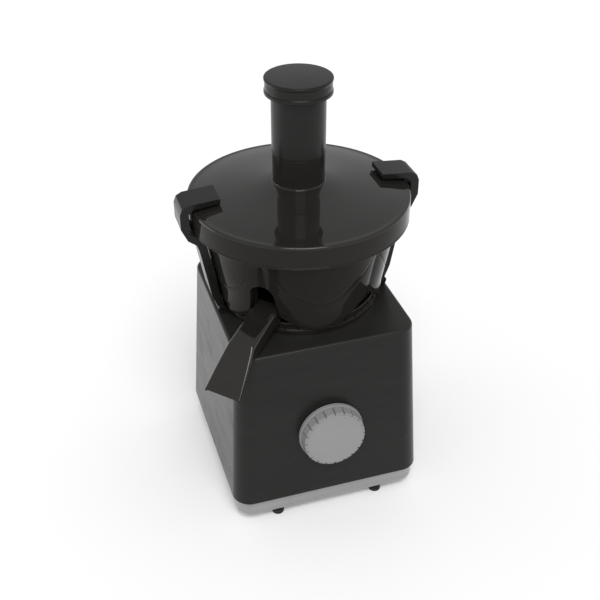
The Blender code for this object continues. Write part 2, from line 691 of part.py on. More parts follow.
def make_spout():
    """A roofed chute: it has a floor over the deck, and is open underneath beyond it."""
    stations = spout_stations()
    spout = lofted("juice_spout", stations, smoky_plastic(), spout_frame())
    upper = []
    lower = []
    for i, (x, top, bottom, half) in enumerate(stations):
        if i < SPOUT_FLOORED:
            upper.append((x, top - SPOUT_WALL, bottom + SPOUT_WALL, half - SPOUT_WALL))
        if i >= SPOUT_FLOORED - 1:
            drop = SPOUT_WALL if i < SPOUT_FLOORED else 1.5 * SPOUT_WALL
            lower.append((x, top - drop, bottom - SPOUT_TAIL, half - SPOUT_WALL))
    first = upper[0]
    upper.insert(0, (first[0] - SPOUT_TAIL, first[1], first[2], first[3]))
    x, top, bottom, half = upper[-1]
    upper.append((x + 1 * MM, top - 1 * MM, bottom, half))
    x, top, bottom, half = lower[-1]
    slope = (lower[-1][1] - lower[-2][1]) / (lower[-1][0] - lower[-2][0])
    lower.append((x + SPOUT_TAIL, top + SPOUT_TAIL * slope, bottom - SPOUT_TAIL, half))
    envelope = turned("bowl_envelope", [(0, BOWL_RIM)] + bowl_outside(GAP) + [(0, BOWL_BOTTOM - GAP)],
                      None, BOWL_AXIS, None, False)
    cut(spout, lofted("spout_channel", upper, None, spout_frame()),
        lofted("spout_mouth", lower, None, spout_frame()), envelope)


def lid_height(radius):
    """Height of the lid's top at a radius: a soft cone, level at the rim and at the neck."""
    edge = LID_RADIUS - LID_EDGE
    share = min(max((edge - radius) / (edge - NECK_RADIUS), 0), 1)
    bend = share * (share - 1) * (2 * share - 1)
    return LID_TOP + LID_RISE * (share + LID_SOFTNESS * bend)


def make_lid():
    edge = LID_RADIUS - LID_EDGE
    radii = [NECK_RADIUS + (edge - NECK_RADIUS) * i / 6 for i in range(7)]
    top = [(r, lid_height(r)) for r in radii]
    under = [(r, lid_height(r) - LID_WALL) for r in reversed(radii)]
    profile = [(TUBE_BORE, NECK_TOP), (NECK_RADIUS, NECK_TOP)] + top
    profile += arc((edge, LID_TOP - LID_EDGE), LID_EDGE, 60, 0, 2)
    profile += [(LID_RADIUS, SKIRT_BOTTOM), (LID_INNER, SKIRT_BOTTOM), (LID_INNER, LID_TOP - LID_EDGE)]
    profile += under
    profile += [(NECK_RADIUS, CHUTE_BOTTOM), (TUBE_BORE, CHUTE_BOTTOM)]
    turned("lid", profile, smoky_plastic(), BOWL_AXIS, None, True, 40)
    ring("lid_seal", RIM_RADIUS - SEAL_WIDTH, RIM_RADIUS - GAP, BOWL_RIM + GAP, LID_UNDERSIDE - GAP,
         rubber(), BOWL_AXIS, None, ROUND)
    ring("feed_tube", TUBE_BORE, TUBE_RADIUS, NECK_TOP + GAP, TUBE_TOP, black_plastic(), BOWL_AXIS, None,
         ROUND)


# ---------------------------------------------------------------- pusher

def make_pusher():
    axis = axis_empty("pusher_axis", (0, BOWL_Y, CAP_UNDERSIDE))
    down = Matrix.Translation((0, 0, -CAP_UNDERSIDE))
    top = CAP_UNDERSIDE + CAP_TOP
    waist = CAP_RADIUS - CAP_WAIST
    edge = 1 * MM
    low_edge = 0.6 * MM
    profile = [(0, top), (CAP_RADIUS - edge, top), (CAP_RADIUS, top - edge), (CAP_RADIUS, top - CAP_LIP),
               (waist, top - CAP_LIP - CAP_WAIST), (waist, CAP_BOTTOM + CAP_LIP + CAP_WAIST),
               (CAP_RADIUS, CAP_BOTTOM + CAP_LIP), (CAP_RADIUS, CAP_BOTTOM + low_edge),
               (CAP_RADIUS - low_edge, CAP_BOTTOM), (CAP_BORE, CAP_BOTTOM), (CAP_BORE, CAP_UNDERSIDE),
               (0, CAP_UNDERSIDE)]
    turned("pusher_cap", profile, black_plastic(), down, axis, False, ROUND)
    outer = TUBE_BORE - PUSHER_PLAY
    inner = outer - PUSHER_WALL
    bottom = CHUTE_BOTTOM + PLUNGER_RISE
    high = CAP_UNDERSIDE - GAP
    profile = [(inner, high), (outer, high), (outer, bottom + edge), (outer - edge, bottom),
               (0, bottom), (0, bottom + PUSHER_WALL), (inner, bottom + PUSHER_WALL)]
    turned("pusher_plunger", profile, black_plastic(), down, axis, True, ROUND)


# ---------------------------------------------------------------- motor and rotor

def make_motor_brackets():
    """Two end brackets with bearing cups, the stator between them."""
    seat = BEARING_RADIUS + GAP
    cup = seat + 2 * MM
    skirt = MOTOR_RADIUS - 2 * MM
    bore = SHAFT_RADIUS + 1 * MM
    plate_low = MOTOR_TOP - BRACKET_PLATE
    cup_top = MOTOR_TOP + BEARING_HEIGHT + 2 * MM
    profile = [(seat, cup_top), (cup, cup_top), (cup, MOTOR_TOP), (MOTOR_RADIUS, MOTOR_TOP),
               (MOTOR_RADIUS, STATOR_TOP + GAP), (skirt, STATOR_TOP + GAP), (skirt, plate_low),
               (bore, plate_low), (bore, MOTOR_TOP), (seat, MOTOR_TOP)]
    upper = turned("motor_upper_bracket", profile, steel(), BOWL_AXIS)
    for i, (x, y) in enumerate(motor_post_places()):
        join(upper, peg("motor_post_%d" % (i + 1), MOTOR_POST_RADIUS, MOTOR_TOP - MM,
                        CHASSIS_BOTTOM - GAP, x, y))
        cut(upper, peg("motor_post_hole_%d" % (i + 1), HOLE_RADIUS, MOTOR_TOP + MM,
                       CHASSIS_BOTTOM + MM, x, y))
    cup_bottom = MOTOR_BOTTOM - BEARING_HEIGHT - 2 * MM
    plate_high = MOTOR_BOTTOM + BRACKET_PLATE
    profile = [(MOTOR_RADIUS, STATOR_BOTTOM - GAP), (MOTOR_RADIUS, MOTOR_BOTTOM), (cup, MOTOR_BOTTOM),
               (cup, cup_bottom), (seat, cup_bottom), (seat, MOTOR_BOTTOM), (bore, MOTOR_BOTTOM),
               (bore, plate_high), (skirt, plate_high), (skirt, STATOR_BOTTOM - GAP)]
    turned("motor_lower_bracket", profile, steel(), BOWL_AXIS)
    race = (SHAFT_RADIUS + GAP, BEARING_RADIUS)
    ring("upper_bearing", *race, MOTOR_TOP + GAP, MOTOR_TOP + BEARING_HEIGHT, steel(), BOWL_AXIS)
    ring("lower_bearing", *race, MOTOR_BOTTOM - BEARING_HEIGHT, MOTOR_BOTTOM - GAP, steel(), BOWL_AXIS)


def make_stator_and_brushes():
    high = STATOR_TOP + WINDING_OVERHANG
    low = STATOR_BOTTOM - WINDING_OVERHANG
    wind_in = STATOR_BORE + 3 * MM
    wind_out = MOTOR_RADIUS - 5 * MM
    profile = [(wind_out, high), (wind_out, STATOR_TOP), (MOTOR_RADIUS, STATOR_TOP),
               (MOTOR_RADIUS, STATOR_BOTTOM), (wind_out, STATOR_BOTTOM), (wind_out, low), (wind_in, low),
               (wind_in, STATOR_BOTTOM), (STATOR_BORE, STATOR_BOTTOM), (STATOR_BORE, STATOR_TOP),
               (wind_in, STATOR_TOP), (wind_in, high)]
    turned("motor_stator", profile, laminations(), BOWL_AXIS, None, True, MOTOR_TURNED)
    size = MOTOR_RADIUS - 6 * MM - COMMUTATOR_RADIUS
    for side, sign in SIDES:
        x = sign * (COMMUTATOR_RADIUS + 1 * MM + size / 2)
        z = MOTOR_TOP - BRACKET_PLATE - GAP - BRUSH_HEIGHT / 2
        block("brush_holder_" + side, (size, BRUSH_WIDTH, BRUSH_HEIGHT), (x, BOWL_Y, z), copper())


def make_rotor():
    axis = axis_empty("rotor_axis", (0, BOWL_Y, 0))
    ring("motor_shaft", 0, SHAFT_RADIUS, SHAFT_BOTTOM, SHAFT_TOP, steel(), None, axis)
    bore = SHAFT_RADIUS + GAP
    core = STATOR_BORE - 1 * MM
    wind = core - 6 * MM
    high = STATOR_TOP + WINDING_OVERHANG - 3 * MM
    low = STATOR_BOTTOM - WINDING_OVERHANG + 3 * MM
    profile = [(wind, high), (wind, STATOR_TOP), (core, STATOR_TOP), (core, STATOR_BOTTOM),
               (wind, STATOR_BOTTOM), (wind, low), (bore, low), (bore, high)]
    turned("rotor_core", profile, laminations(), None, axis, True, MOTOR_TURNED)
    top = MOTOR_TOP - BRACKET_PLATE - 1 * MM
    ring("commutator", bore, COMMUTATOR_RADIUS, top - COMMUTATOR_HEIGHT, top, copper(), None, axis)
    make_fan(axis)
    make_coupling(axis)
    make_basket(axis)


def make_fan(axis):
    low = SHAFT_BOTTOM + 4 * MM
    high = low + FAN_HEIGHT
    bore = SHAFT_RADIUS + GAP
    plate = 2 * MM
    profile = [(FAN_HUB, high), (FAN_HUB, low + plate), (FAN_RADIUS, low + plate), (FAN_RADIUS, low),
               (bore, low), (bore, high)]
    fan = turned("cooling_fan", profile, black_plastic(), None, axis)
    length = FAN_RADIUS - FAN_BLADE_START - 1 * MM
    for i in range(FAN_BLADES):
        turn = Matrix.Rotation(2 * math.pi * i / FAN_BLADES, 4, "Z")
        size = (length, plate, FAN_HEIGHT - plate)
        middle = (FAN_BLADE_START + length / 2, 0, low + plate / 2 + size[2] / 2)
        blade = block("fan_blade_%d" % (i + 1), size, middle, None, turn, axis)
        join(fan, blade)


def make_coupling(axis):
    low = DECK + COLLAR_HEIGHT - GAP
    flange = BOWL_BOTTOM + BOWL_TUBE_HEIGHT + 2 * GAP
    top = BASKET_FLOOR - GAP
    bore = SHAFT_RADIUS + GAP
    profile = [(COUPLING_FLANGE, top), (COUPLING_FLANGE, flange), (COUPLING_RADIUS, flange),
               (COUPLING_RADIUS, low), (bore, low), (bore, top)]
    turned("drive_coupling", profile, black_plastic(), None, axis, True, MOTOR_TURNED)


def make_basket(axis):
    bore = SHAFT_RADIUS + GAP
    rim = BASKET_TOP_RADIUS + BASKET_RIM_WIDTH
    rim_low = BASKET_RIM - BASKET_RIM_HEIGHT
    floor = BASKET_FLOOR
    inside = BASKET_TOP_RADIUS - BASKET_WALL
    profile = [(rim, BASKET_RIM), (rim, rim_low), (BASKET_TOP_RADIUS, rim_low),
               (BASKET_FLOOR_RADIUS, floor), (bore, floor), (bore, floor + BASKET_WALL),
               (BASKET_FLOOR_RADIUS - BASKET_WALL, floor + BASKET_WALL), (inside, rim_low),
               (inside, BASKET_RIM)]
    turned("filter_basket", profile, steel(), None, axis)
    disc = BASKET_FLOOR_RADIUS - 4 * BASKET_WALL
    ring("grater_disc", bore, disc, DISC_BOTTOM, DISC_BOTTOM + DISC_THICKNESS, steel(), None, axis, ROUND)
    crown = NUT_BOTTOM + NUT_HEIGHT
    profile = [(0, crown), (NUT_RADIUS - 4 * MM, crown - 1 * MM), (NUT_RADIUS, crown - 5 * MM),
               (NUT_RADIUS, NUT_BOTTOM), (bore, NUT_BOTTOM), (bore, SHAFT_TOP + GAP), (0, SHAFT_TOP + GAP)]
    turned("basket_nut", profile, black_plastic(), None, axis, False, SMALL_ROUND)


# ---------------------------------------------------------------- lock arms

def arm_outline():
    """Side view of the right arm from its pivot: outer side up, over the hook, inner side down."""
    hook_inner = LID_RADIUS + HOOK_CLEARANCE - PIVOT_X
    hook_outer = hook_inner + HOOK_THICKNESS
    tip = LID_RADIUS - HOOK_REACH
    under_tip = lid_height(tip) + 2 * GAP + PAD_THICKNESS + GAP - PIVOT_Z
    under_edge = lid_height(LID_RADIUS - LID_EDGE) + PAD_THICKNESS + 3 * GAP + 1 * MM - PIVOT_Z
    top_tip = under_tip + 5 * MM
    top_edge = under_edge + 5.4 * MM
    shoulder = BOWL_SHOULDER_Z - PIVOT_Z
    low = BOWL_BOTTOM + BOWL_CORNER - PIVOT_Z
    strap_low = BOWL_LOW_RADIUS + 5 * GAP - PIVOT_X
    strap_high = BOWL_HIGH_RADIUS + 5 * GAP - PIVOT_X
    skirt = SKIRT_BOTTOM - PIVOT_Z
    strap_outer = strap_high + STRAP_THICKNESS
    bend = [(strap_outer, shoulder), (strap_outer + 2 * MM, skirt - 12 * MM),
            (hook_outer - 6 * MM, skirt - 6 * MM), (hook_outer, skirt + 7 * MM)]
    crown = [(hook_outer, top_edge - 9 * MM), (hook_outer - 2.5 * MM, top_edge - 3 * MM),
             (hook_outer - 8 * MM, top_edge)]
    over = [(tip - PIVOT_X, top_tip), (tip - PIVOT_X, under_tip)]
    inside = [(hook_inner - 5 * MM, under_edge), (hook_inner, under_edge - 4 * MM),
              (hook_inner, skirt + 1 * MM), (strap_high + 6 * MM, skirt - 5 * MM),
              (strap_high, shoulder + 2 * MM), (strap_low, low)]
    outer_foot = [(strap_low + STRAP_THICKNESS, low - 2 * MM)]
    barrel = arc((0, 0), BARREL_RADIUS, 150, 380, 12)
    return barrel + outer_foot + bend + crown + over + inside


def arm_matrix(sign):
    """Stands a side view up at the arm's pivot. The left arm is the right one turned round."""
    side_view = Matrix(((1, 0, 0, 0), (0, 0, -1, 0), (0, 1, 0, 0), (0, 0, 0, 1)))
    turn = Matrix.Rotation(0 if sign > 0 else math.pi, 4, "Z")
    return turn @ side_view


def make_arms():
    hole = arc((0, 0), PIN_RADIUS + GAP, 0, 360 - 360 / 16, 15)
    tip = LID_RADIUS - HOOK_REACH
    inner = tip + 1.5 * MM
    outer = LID_RADIUS - LID_EDGE - 4 * MM
    for side, sign in SIDES:
        pivot = axis_empty("arm_pivot_" + side, (sign * PIVOT_X, BOWL_Y, PIVOT_Z))
        flat_outline("lock_arm_" + side, [arm_outline(), hole], ARM_WIDTH - 2 * GAP, black_plastic(),
                     arm_matrix(sign), pivot)
        low = [(x - PIVOT_X, lid_height(x) + 2 * GAP - PIVOT_Z) for x in (inner, outer)]
        high = [(x, z + PAD_THICKNESS - GAP) for x, z in reversed(low)]
        flat_outline("arm_pad_" + side, [low + high], ARM_WIDTH - 6 * MM, rubber(), arm_matrix(sign), pivot)
        make_arm_bracket(side, sign)


def make_arm_bracket(side, sign):
    """A base plate with two ears, staked through the deck, and the pin through both ears."""
    low = DECK + GAP
    plate = BRACKET_THICKNESS
    length = ARM_WIDTH + 2 * EAR_WIDTH
    wide = BARREL_RADIUS + 2.4 * MM
    centre = (sign * (PIVOT_X - 1.6 * MM), BOWL_Y, low + plate / 2)
    bracket = block("arm_bracket_" + side, (wide, length, plate), centre, black_plastic())
    pin_frame = Matrix.Translation((sign * PIVOT_X, BOWL_Y, PIVOT_Z)) @ Matrix.Rotation(math.pi / 2, 4, "X")
    foot = BARREL_RADIUS - 0.4 * MM
    base = low + plate / 2 - PIVOT_Z
    ear = [(-foot, base), (foot - 1.4 * MM, base)] + arc((0, 0), BARREL_RADIUS - 0.2 * MM, -10, 190, 10)
    for end, way in (("front", -1), ("back", 1)):
        shift = Matrix.Translation((sign * PIVOT_X, BOWL_Y + way * (ARM_WIDTH + EAR_WIDTH) / 2, PIVOT_Z))
        tool = flat_outline("ear_%s_%s" % (side, end), [ear], EAR_WIDTH, None, shift @ arm_matrix(sign))
        join(bracket, as_mesh(tool))
    half = length / 2
    cut(bracket, ring("ear_hole_" + side, 0, PIN_RADIUS + GAP, -half - MM, half + MM, None, pin_frame))
    join(bracket, peg("stake_" + side, STAKE_RADIUS, DECK_UNDERSIDE - STAKE_RADIUS, low + plate / 2,
                      sign * PIVOT_X, BOWL_Y))
    ring("arm_pin_" + side, 0, PIN_RADIUS, -half + 0.5 * MM, half - 0.5 * MM, steel(), pin_frame, None, 16)


# ---------------------------------------------------------------- controls

def make_knob():
    frame = front_matrix(KNOB_HEIGHT)
    axis = axis_empty("knob_axis", frame.to_translation(), frame.to_euler())
    back = 2 * GAP
    face = back + KNOB_DEPTH
    step = back + KNOB_FLANGE_THICKNESS
    bore = SPINDLE_RADIUS + GAP
    hub = bore + 4 * MM
    shell = face - KNOB_WALL
    tip = shell - 2 * MM
    profile = [(0, face), (KNOB_RADIUS - 2.5 * MM, face), (KNOB_RADIUS, face - 2 * MM),
               (KNOB_RADIUS, step + 1 * MM), (KNOB_FLANGE, step), (KNOB_FLANGE, back),
               (KNOB_RADIUS - KNOB_WALL, back), (KNOB_RADIUS - KNOB_WALL - 1 * MM, shell), (hub, shell),
               (hub, back), (bore, back), (bore, tip), (0, tip)]
    turned("speed_knob", profile, knob_plastic(), None, axis, False, KNOB_SIDES)
    ring("switch_spindle", 0, SPINDLE_RADIUS, -SPINDLE_BACK, tip - GAP, steel(), None, axis, 16)
    body_top = -HOUSING_WALL - GAP
    size = (SWITCH_SIZE, SWITCH_SIZE, SWITCH_DEPTH)
    switch = block("rotary_switch", size, (0, 0, body_top - SWITCH_DEPTH / 2), white_plastic(), frame)
    bush = ring("switch_bush", 0, SWITCH_BUSH - GAP, body_top - 2 * MM, 0, None, frame, None, 16)
    hole = ring("switch_bore", 0, bore, -SPINDLE_BACK - 2 * MM, 2 * MM, None, frame, None, 16)
    join(switch, bush)
    cut(switch, hole)


def make_inlet_and_board(back_y):
    turn = Matrix.Rotation(-math.pi / 2, 4, "X")
    neck = GLAND_RADIUS - GLAND_STEP
    frame = Matrix.Translation((0, back_y, GLAND_HEIGHT)) @ Matrix.Rotation(LEAN, 4, "X") @ turn
    inside = -HOUSING_WALL - GAP - GLAND_STEP
    profile = [(GLAND_BORE, GLAND_LENGTH), (neck, GLAND_LENGTH), (GLAND_RADIUS, GLAND_STEP),
               (GLAND_RADIUS, GAP), (neck, GAP), (neck, inside), (GLAND_BORE, inside)]
    turned("cord_gland", profile, rubber(), frame, None, True, SMALL_ROUND)
    middle = BODY_DEPTH / 2 - BOARD_INSET
    board = block("control_board", BOARD_SIZE, (0, middle, BOARD_HEIGHT), board_green())
    top = BOARD_HEIGHT + BOARD_SIZE[2] / 2 - BOARD_SINK
    for name, size, across, along in BOARD_LOAD:
        join(board, block(name, size, (across, middle + along, top + size[2] / 2), None))


def make_interlocks():
    """A safety switch under each arm, which lets the motor run only while the arm is closed."""
    size = (INTERLOCK_WIDTH, INTERLOCK_LENGTH, CHASSIS_DROP - 4 * GAP)
    for side, sign in SIDES:
        centre = (sign * (LEG_X - INTERLOCK_INSET), BOWL_Y, CHASSIS_TOP + 2 * GAP + size[2] / 2)
        block("interlock_switch_" + side, size, centre, white_plastic())


def main():
    for obj in list(bpy.data.objects):
        bpy.data.objects.remove(obj, do_unlink=True)
    for collection in (parts, cutters):
        bpy.context.scene.collection.children.link(collection)
    back_y = make_housing()
    make_base_pan()
    make_feet_and_pan_screws()
    make_chassis()
    make_collar()
    make_bowl()
    make_spout()
    make_lid()
    make_pusher()
    make_motor_brackets()
    make_stator_and_brushes()
    make_rotor()
    make_arms()
    make_knob()
    make_inlet_and_board(back_y)
    make_interlocks()


main()
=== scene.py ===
"""Centrifugal juicer: the visual model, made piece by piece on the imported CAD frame."""
import json
import math

import bmesh
import bpy
from bpy.props import FloatProperty, FloatVectorProperty, IntProperty, PointerProperty
from mathutils import Matrix, Vector


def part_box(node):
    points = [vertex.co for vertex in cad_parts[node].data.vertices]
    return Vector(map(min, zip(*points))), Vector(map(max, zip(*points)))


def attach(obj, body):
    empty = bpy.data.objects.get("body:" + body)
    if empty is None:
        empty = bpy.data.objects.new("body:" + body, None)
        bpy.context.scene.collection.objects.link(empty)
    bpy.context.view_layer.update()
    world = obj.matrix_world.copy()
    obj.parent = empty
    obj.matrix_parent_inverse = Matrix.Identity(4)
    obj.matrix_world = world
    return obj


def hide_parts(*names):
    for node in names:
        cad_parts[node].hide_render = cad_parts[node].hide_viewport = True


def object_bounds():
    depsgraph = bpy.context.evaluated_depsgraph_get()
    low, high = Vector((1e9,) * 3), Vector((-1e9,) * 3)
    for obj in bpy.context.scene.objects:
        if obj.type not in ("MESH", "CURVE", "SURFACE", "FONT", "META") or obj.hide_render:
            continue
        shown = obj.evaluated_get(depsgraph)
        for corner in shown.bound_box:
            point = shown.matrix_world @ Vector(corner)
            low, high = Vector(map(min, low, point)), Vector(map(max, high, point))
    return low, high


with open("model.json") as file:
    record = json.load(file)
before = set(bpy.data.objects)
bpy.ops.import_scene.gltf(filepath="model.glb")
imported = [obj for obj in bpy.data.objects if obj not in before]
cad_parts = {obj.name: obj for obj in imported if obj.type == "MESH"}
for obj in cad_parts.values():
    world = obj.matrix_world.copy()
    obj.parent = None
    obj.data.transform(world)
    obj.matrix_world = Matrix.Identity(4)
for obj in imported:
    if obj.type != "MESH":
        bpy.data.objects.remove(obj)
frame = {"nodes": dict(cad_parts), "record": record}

bl_info = {
    "name": "Centrifugal Juicer",
    "version": (1, 0, 0),
    "blender": (4, 5, 0),
    "location": "3D View > Sidebar > Juicer",
    "description": "Builds the visible pieces of a countertop centrifugal juicer on its CAD frame",
    "category": "Object",
}

MM = 0.001
CAD_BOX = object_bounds()
TURN = 2 * math.pi


# ---------------------------------------------------------------- measures read from the frame

def low(node):
    """The corner of a node's box where x, y and z are least."""
    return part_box(node)[0]


def high(node):
    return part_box(node)[1]


SEAM = low("housing").z
DECK = high("housing").z
HALF_WIDTH = high("housing").x
HALF_DEPTH = high("housing").y
PAN_HALF_WIDTH = high("base_pan").x
PAN_HALF_DEPTH = high("base_pan").y
AXIS_Y = (low("motor_shaft").y + high("motor_shaft").y) / 2
BOWL_AXIS = Matrix.Translation((0, AXIS_Y, 0))
BOWL_BOTTOM = low("bowl").z
BOWL_RIM = high("bowl").z
FLANGE_RADIUS = high("bowl").x
COLLAR_RADIUS = high("deck_collar").x
COLLAR_TOP = high("deck_collar").z
LID_RADIUS = high("lid").x
NECK_TOP = high("lid").z
CHUTE_BOTTOM = low("lid").z
TUBE_RADIUS = high("feed_tube").x
JOINTS = {joint["name"]: joint for joint in frame["record"]["behaviour"]["joints"]}
KNOB_AXIS = Vector(JOINTS["knob_turn"]["axis"])
FRONT = Matrix.Translation(JOINTS["knob_turn"]["pos_m"]) @ Matrix.Rotation(math.acos(KNOB_AXIS.z), 4, "X")

BOWL_FLANGE = BOWL_BOTTOM + 81 * MM
RIM_RADIUS = high("lid_seal").x + 0.3 * MM
SKIRT_RADIUS = 84 * MM
FOOT_CORNER = 9 * MM
LID_TOP = high("lid_seal").z + 2.8 * MM
NECK_RADIUS = TUBE_RADIUS - 0.5 * MM
TUBE_BORE = TUBE_RADIUS - 2.5 * MM
SHAFT_BORE = 4.3 * MM
SCREW_HOLE = 2 * MM
HEAD = 2.4 * MM
TINY = 1e-6
FEET, PAN_SCREWS, MOTOR_SCREWS, COLLAR_SCREWS = (
    ["%s_%d" % (kind, i + 1) for i in range(total)]
    for kind, total in (("foot", 4), ("pan_screw", 4), ("motor_screw", 4), ("collar_screw", 3)))


# ---------------------------------------------------------------- sizes and colours a user may change

def length(name, text, millimetres):
    return FloatProperty(name=name, description=text, default=millimetres * MM, min=0, unit="LENGTH",
                         precision=4)


def angle(name, text, degrees):
    return FloatProperty(name=name, description=text, default=math.radians(degrees), subtype="ANGLE")


def count(name, text, number):
    return IntProperty(name=name, description=text, default=number, min=1)


def colour(name, text, values):
    return FloatVectorProperty(name=name, description=text, default=values, size=3, min=0, max=1,
                               subtype="COLOR")


class JuicerSizes(bpy.types.PropertyGroup):
    """Sizes of the visible details. The main sizes come from the frame."""
    draft: length("Draft", "How far each side of the housing leans in up to the deck", 10.2)
    corner: length("Corner", "Radius of the housing's upright corners", 19)
    deck_edge: length("Deck edge", "Radius of the edge around the deck", 3.2)
    wall: length("Wall", "Wall of the housing and the pan", 2.5)
    pan_edge: length("Pan edge", "Radius of the pan's lower edge", 7)
    lobes: count("Lobes", "Lobes around the bowl's skirt", 5)
    first_lobe: angle("First lobe", "Angle of the front lobe's middle", 268)
    lobe_rise: length("Lobe rise", "How far the skirt's lower edge rises between two lobes", 25)
    lobe_drop: length("Lobe drop", "How far the lobes hang below the bowl's underside", 6)
    crease: length("Crease", "How deep the valleys between the lobes are", 2)
    inner_radius: length("Inner radius", "Radius of the bowl's inner wall, behind the skirt", 76.5)
    skirt_wall: length("Skirt wall", "Thickness of the skirt where it hangs free", 2.2)
    bead_height: length("Bead height", "Lowest point of the moulded line above the lobe's edge", 31)
    outlet_width: length("Outlet width", "Width of the arch over the spout", 24)
    outlet_height: length("Outlet height", "Height of the arch over the bowl's floor", 41)
    spout_angle: angle("Spout angle", "Direction of the spout around the bowl", 223)
    spout_offset: length("Spout offset", "Middle plane of the spout to the bowl's axis", 9.5)
    spout_wall: length("Spout wall", "Wall of the spout", 1.8)
    lid_skirt: length("Lid skirt", "Height of the lid's skirt", 23)
    lid_rise: length("Lid rise", "Height of the lid's cone", 12)
    knob_notches: count("Knob notches", "Slots around the knob's rim", 20)
    notch_width: length("Notch width", "Width of a slot in the knob's rim", 1.1)
    basket_columns: count("Basket columns", "Perforations around the basket", 84)
    basket_rows: count("Basket rows", "Rows of perforations up the basket's wall", 13)
    teeth: count("Teeth", "Grating teeth in each ring of the disc", 26)
    tooth_rings: count("Tooth rings", "Rings of grating teeth", 8)
    bars: count("Bars", "Copper bars around the commutator", 24)
    coils: count("Coils", "Turns of wire that show on each end of the windings", 30)


class JuicerColours(bpy.types.PropertyGroup):
    """Base colours of the finishes."""
    black: colour("Black plastic", "Housing, feed tube, cap and lock arms", (0.0105, 0.0102, 0.0096))
    smoky: colour("Smoky plastic", "Bowl, spout and collar", (0.0142, 0.0126, 0.0112))
    silver: colour("Silver plastic", "Base pan", (0.29, 0.29, 0.295))
    knob: colour("Knob plastic", "Speed knob", (0.25, 0.25, 0.25))
    lid: colour("Lid plastic", "Lid and neck", (0.0165, 0.0155, 0.0145))
    rubber: colour("Rubber", "Feet, seals and pads", (0.018, 0.018, 0.018))
    steel: colour("Steel", "Basket, shaft, bearings and screws", (0.56, 0.56, 0.57))
    sheet: colour("Sheet steel", "Laminations and chassis", (0.22, 0.21, 0.20))
    copper: colour("Copper", "Windings and commutator", (0.72, 0.33, 0.14))
    white: colour("White plastic", "Switches", (0.74, 0.73, 0.69))
    board: colour("Board", "Control board", (0.02, 0.13, 0.05))


# ---------------------------------------------------------------- node trees

class Term:
    """A socket that Python arithmetic works on. Each operation adds its Math node."""

    def __init__(self, tree, socket):
        self.tree = tree
        self.socket = socket

    def math(self, operation, *values, clamp=False):
        inputs = dict(enumerate(values))
        made = self.tree.node("ShaderNodeMath", {"operation": operation, "use_clamp": clamp}, inputs)
        return Term(self.tree, made.outputs[0])

    def __add__(self, other):
        return self.math("ADD", self, other)

    def __sub__(self, other):
        return self.math("SUBTRACT", self, other)

    def __rsub__(self, other):
        return self.math("SUBTRACT", other, self)

    def __mul__(self, other):
        return self.math("MULTIPLY", self, other)

    def __truediv__(self, other):
        return self.math("DIVIDE", self, other)

    __radd__ = __add__
    __rmul__ = __mul__


class Tree:
    """Adds nodes to a node tree."""

    def __init__(self, tree):
        self.tree = tree

    def node(self, kind, settings=None, values=None):
        """One node. Its settings are set first, then its sockets get their values or links."""
        made = self.tree.nodes.new(kind)
        for name, setting in (settings or {}).items():
            setattr(made, name, setting)
        for key, value in (values or {}).items():
            self.put(made.inputs[key], value)
        return made

    def put(self, socket, value):
        if isinstance(value, Term):
            self.tree.links.new(value.socket, socket)
        elif isinstance(value, bpy.types.NodeSocket):
            self.tree.links.new(value, socket)
        else:
            socket.default_value = value

    def term(self, kind, settings=None, values=None, output=0):
        return Term(self, self.node(kind, settings, values).outputs[output])


class Finish(Tree):
    """One material on Object coordinates."""

    def __init__(self, name, constants):
        self.material = bpy.data.materials.new(name + "_finish")
        self.material.use_nodes = True
        super().__init__(self.material.node_tree)
        self.surface = self.tree.nodes["Principled BSDF"]
        self.place = self.term("ShaderNodeTexCoord", output="Object")
        for socket, value in constants.items():
            self.surface.inputs[socket].default_value = value

    def stretched(self, stretch):
        return self.term("ShaderNodeMapping", None, {"Vector": self.place, "Scale": stretch})

    def noise(self, size, stretch=(1, 1, 1), detail=2.0):
        """Noise with features of about a size in metres."""
        values = {"Vector": self.stretched(stretch), "Scale": 1 / size, "Detail": detail}
        return self.term("ShaderNodeTexNoise", {"normalize": True}, values)

    def bands(self, pitch, direction):
        """Even bands across a direction, a pitch apart."""
        values = {"Vector": self.place, "Scale": TURN / 20 / pitch, "Distortion": 0.0}
        return self.term("ShaderNodeTexWave", {"bands_direction": direction}, values, "Fac")

    def patches(self, size, start, end, stretch=(1, 1, 1), detail=3):
        """Noise cut into soft patches: 0 below a start, 1 above an end."""
        return self.share(self.noise(size, stretch, detail), start, end)

    def share(self, value, start, end):
        """0 below a start, 1 above an end, and a soft step between them."""
        settings = {"interpolation_type": "SMOOTHSTEP"}
        return self.term("ShaderNodeMapRange", settings, {"Value": value, "From Min": start, "From Max": end})

    def mix(self, factor, first, second):
        settings = {"data_type": "RGBA"}
        return self.term("ShaderNodeMix", settings, {0: factor, 6: first, 7: second}, 2)

    def paint(self, colour, spread, factor):
        """Base colour that drifts from darker to lighter."""
        dark = tuple(c * (1 - spread) for c in colour) + (1,)
        light = tuple(min(c * (1 + spread), 1) for c in colour) + (1,)
        return self.mix(factor, dark, light)

    def done(self, base, rough, height=None, depth=0.0, strength=0.0, **others):
        """Ends the finish: its colour, its roughness, and a relief with a depth in metres."""
        if height is not None:
            values = {"Height": height, "Distance": depth, "Strength": strength}
            others["Normal"] = self.term("ShaderNodeBump", None, values)
        for socket, value in {"Base Color": base, "Roughness": rough, **others}.items():
            self.put(self.surface.inputs[socket.replace("_", " ")], value)
        return self.material


def colours():
    return bpy.context.scene.juicer_colours


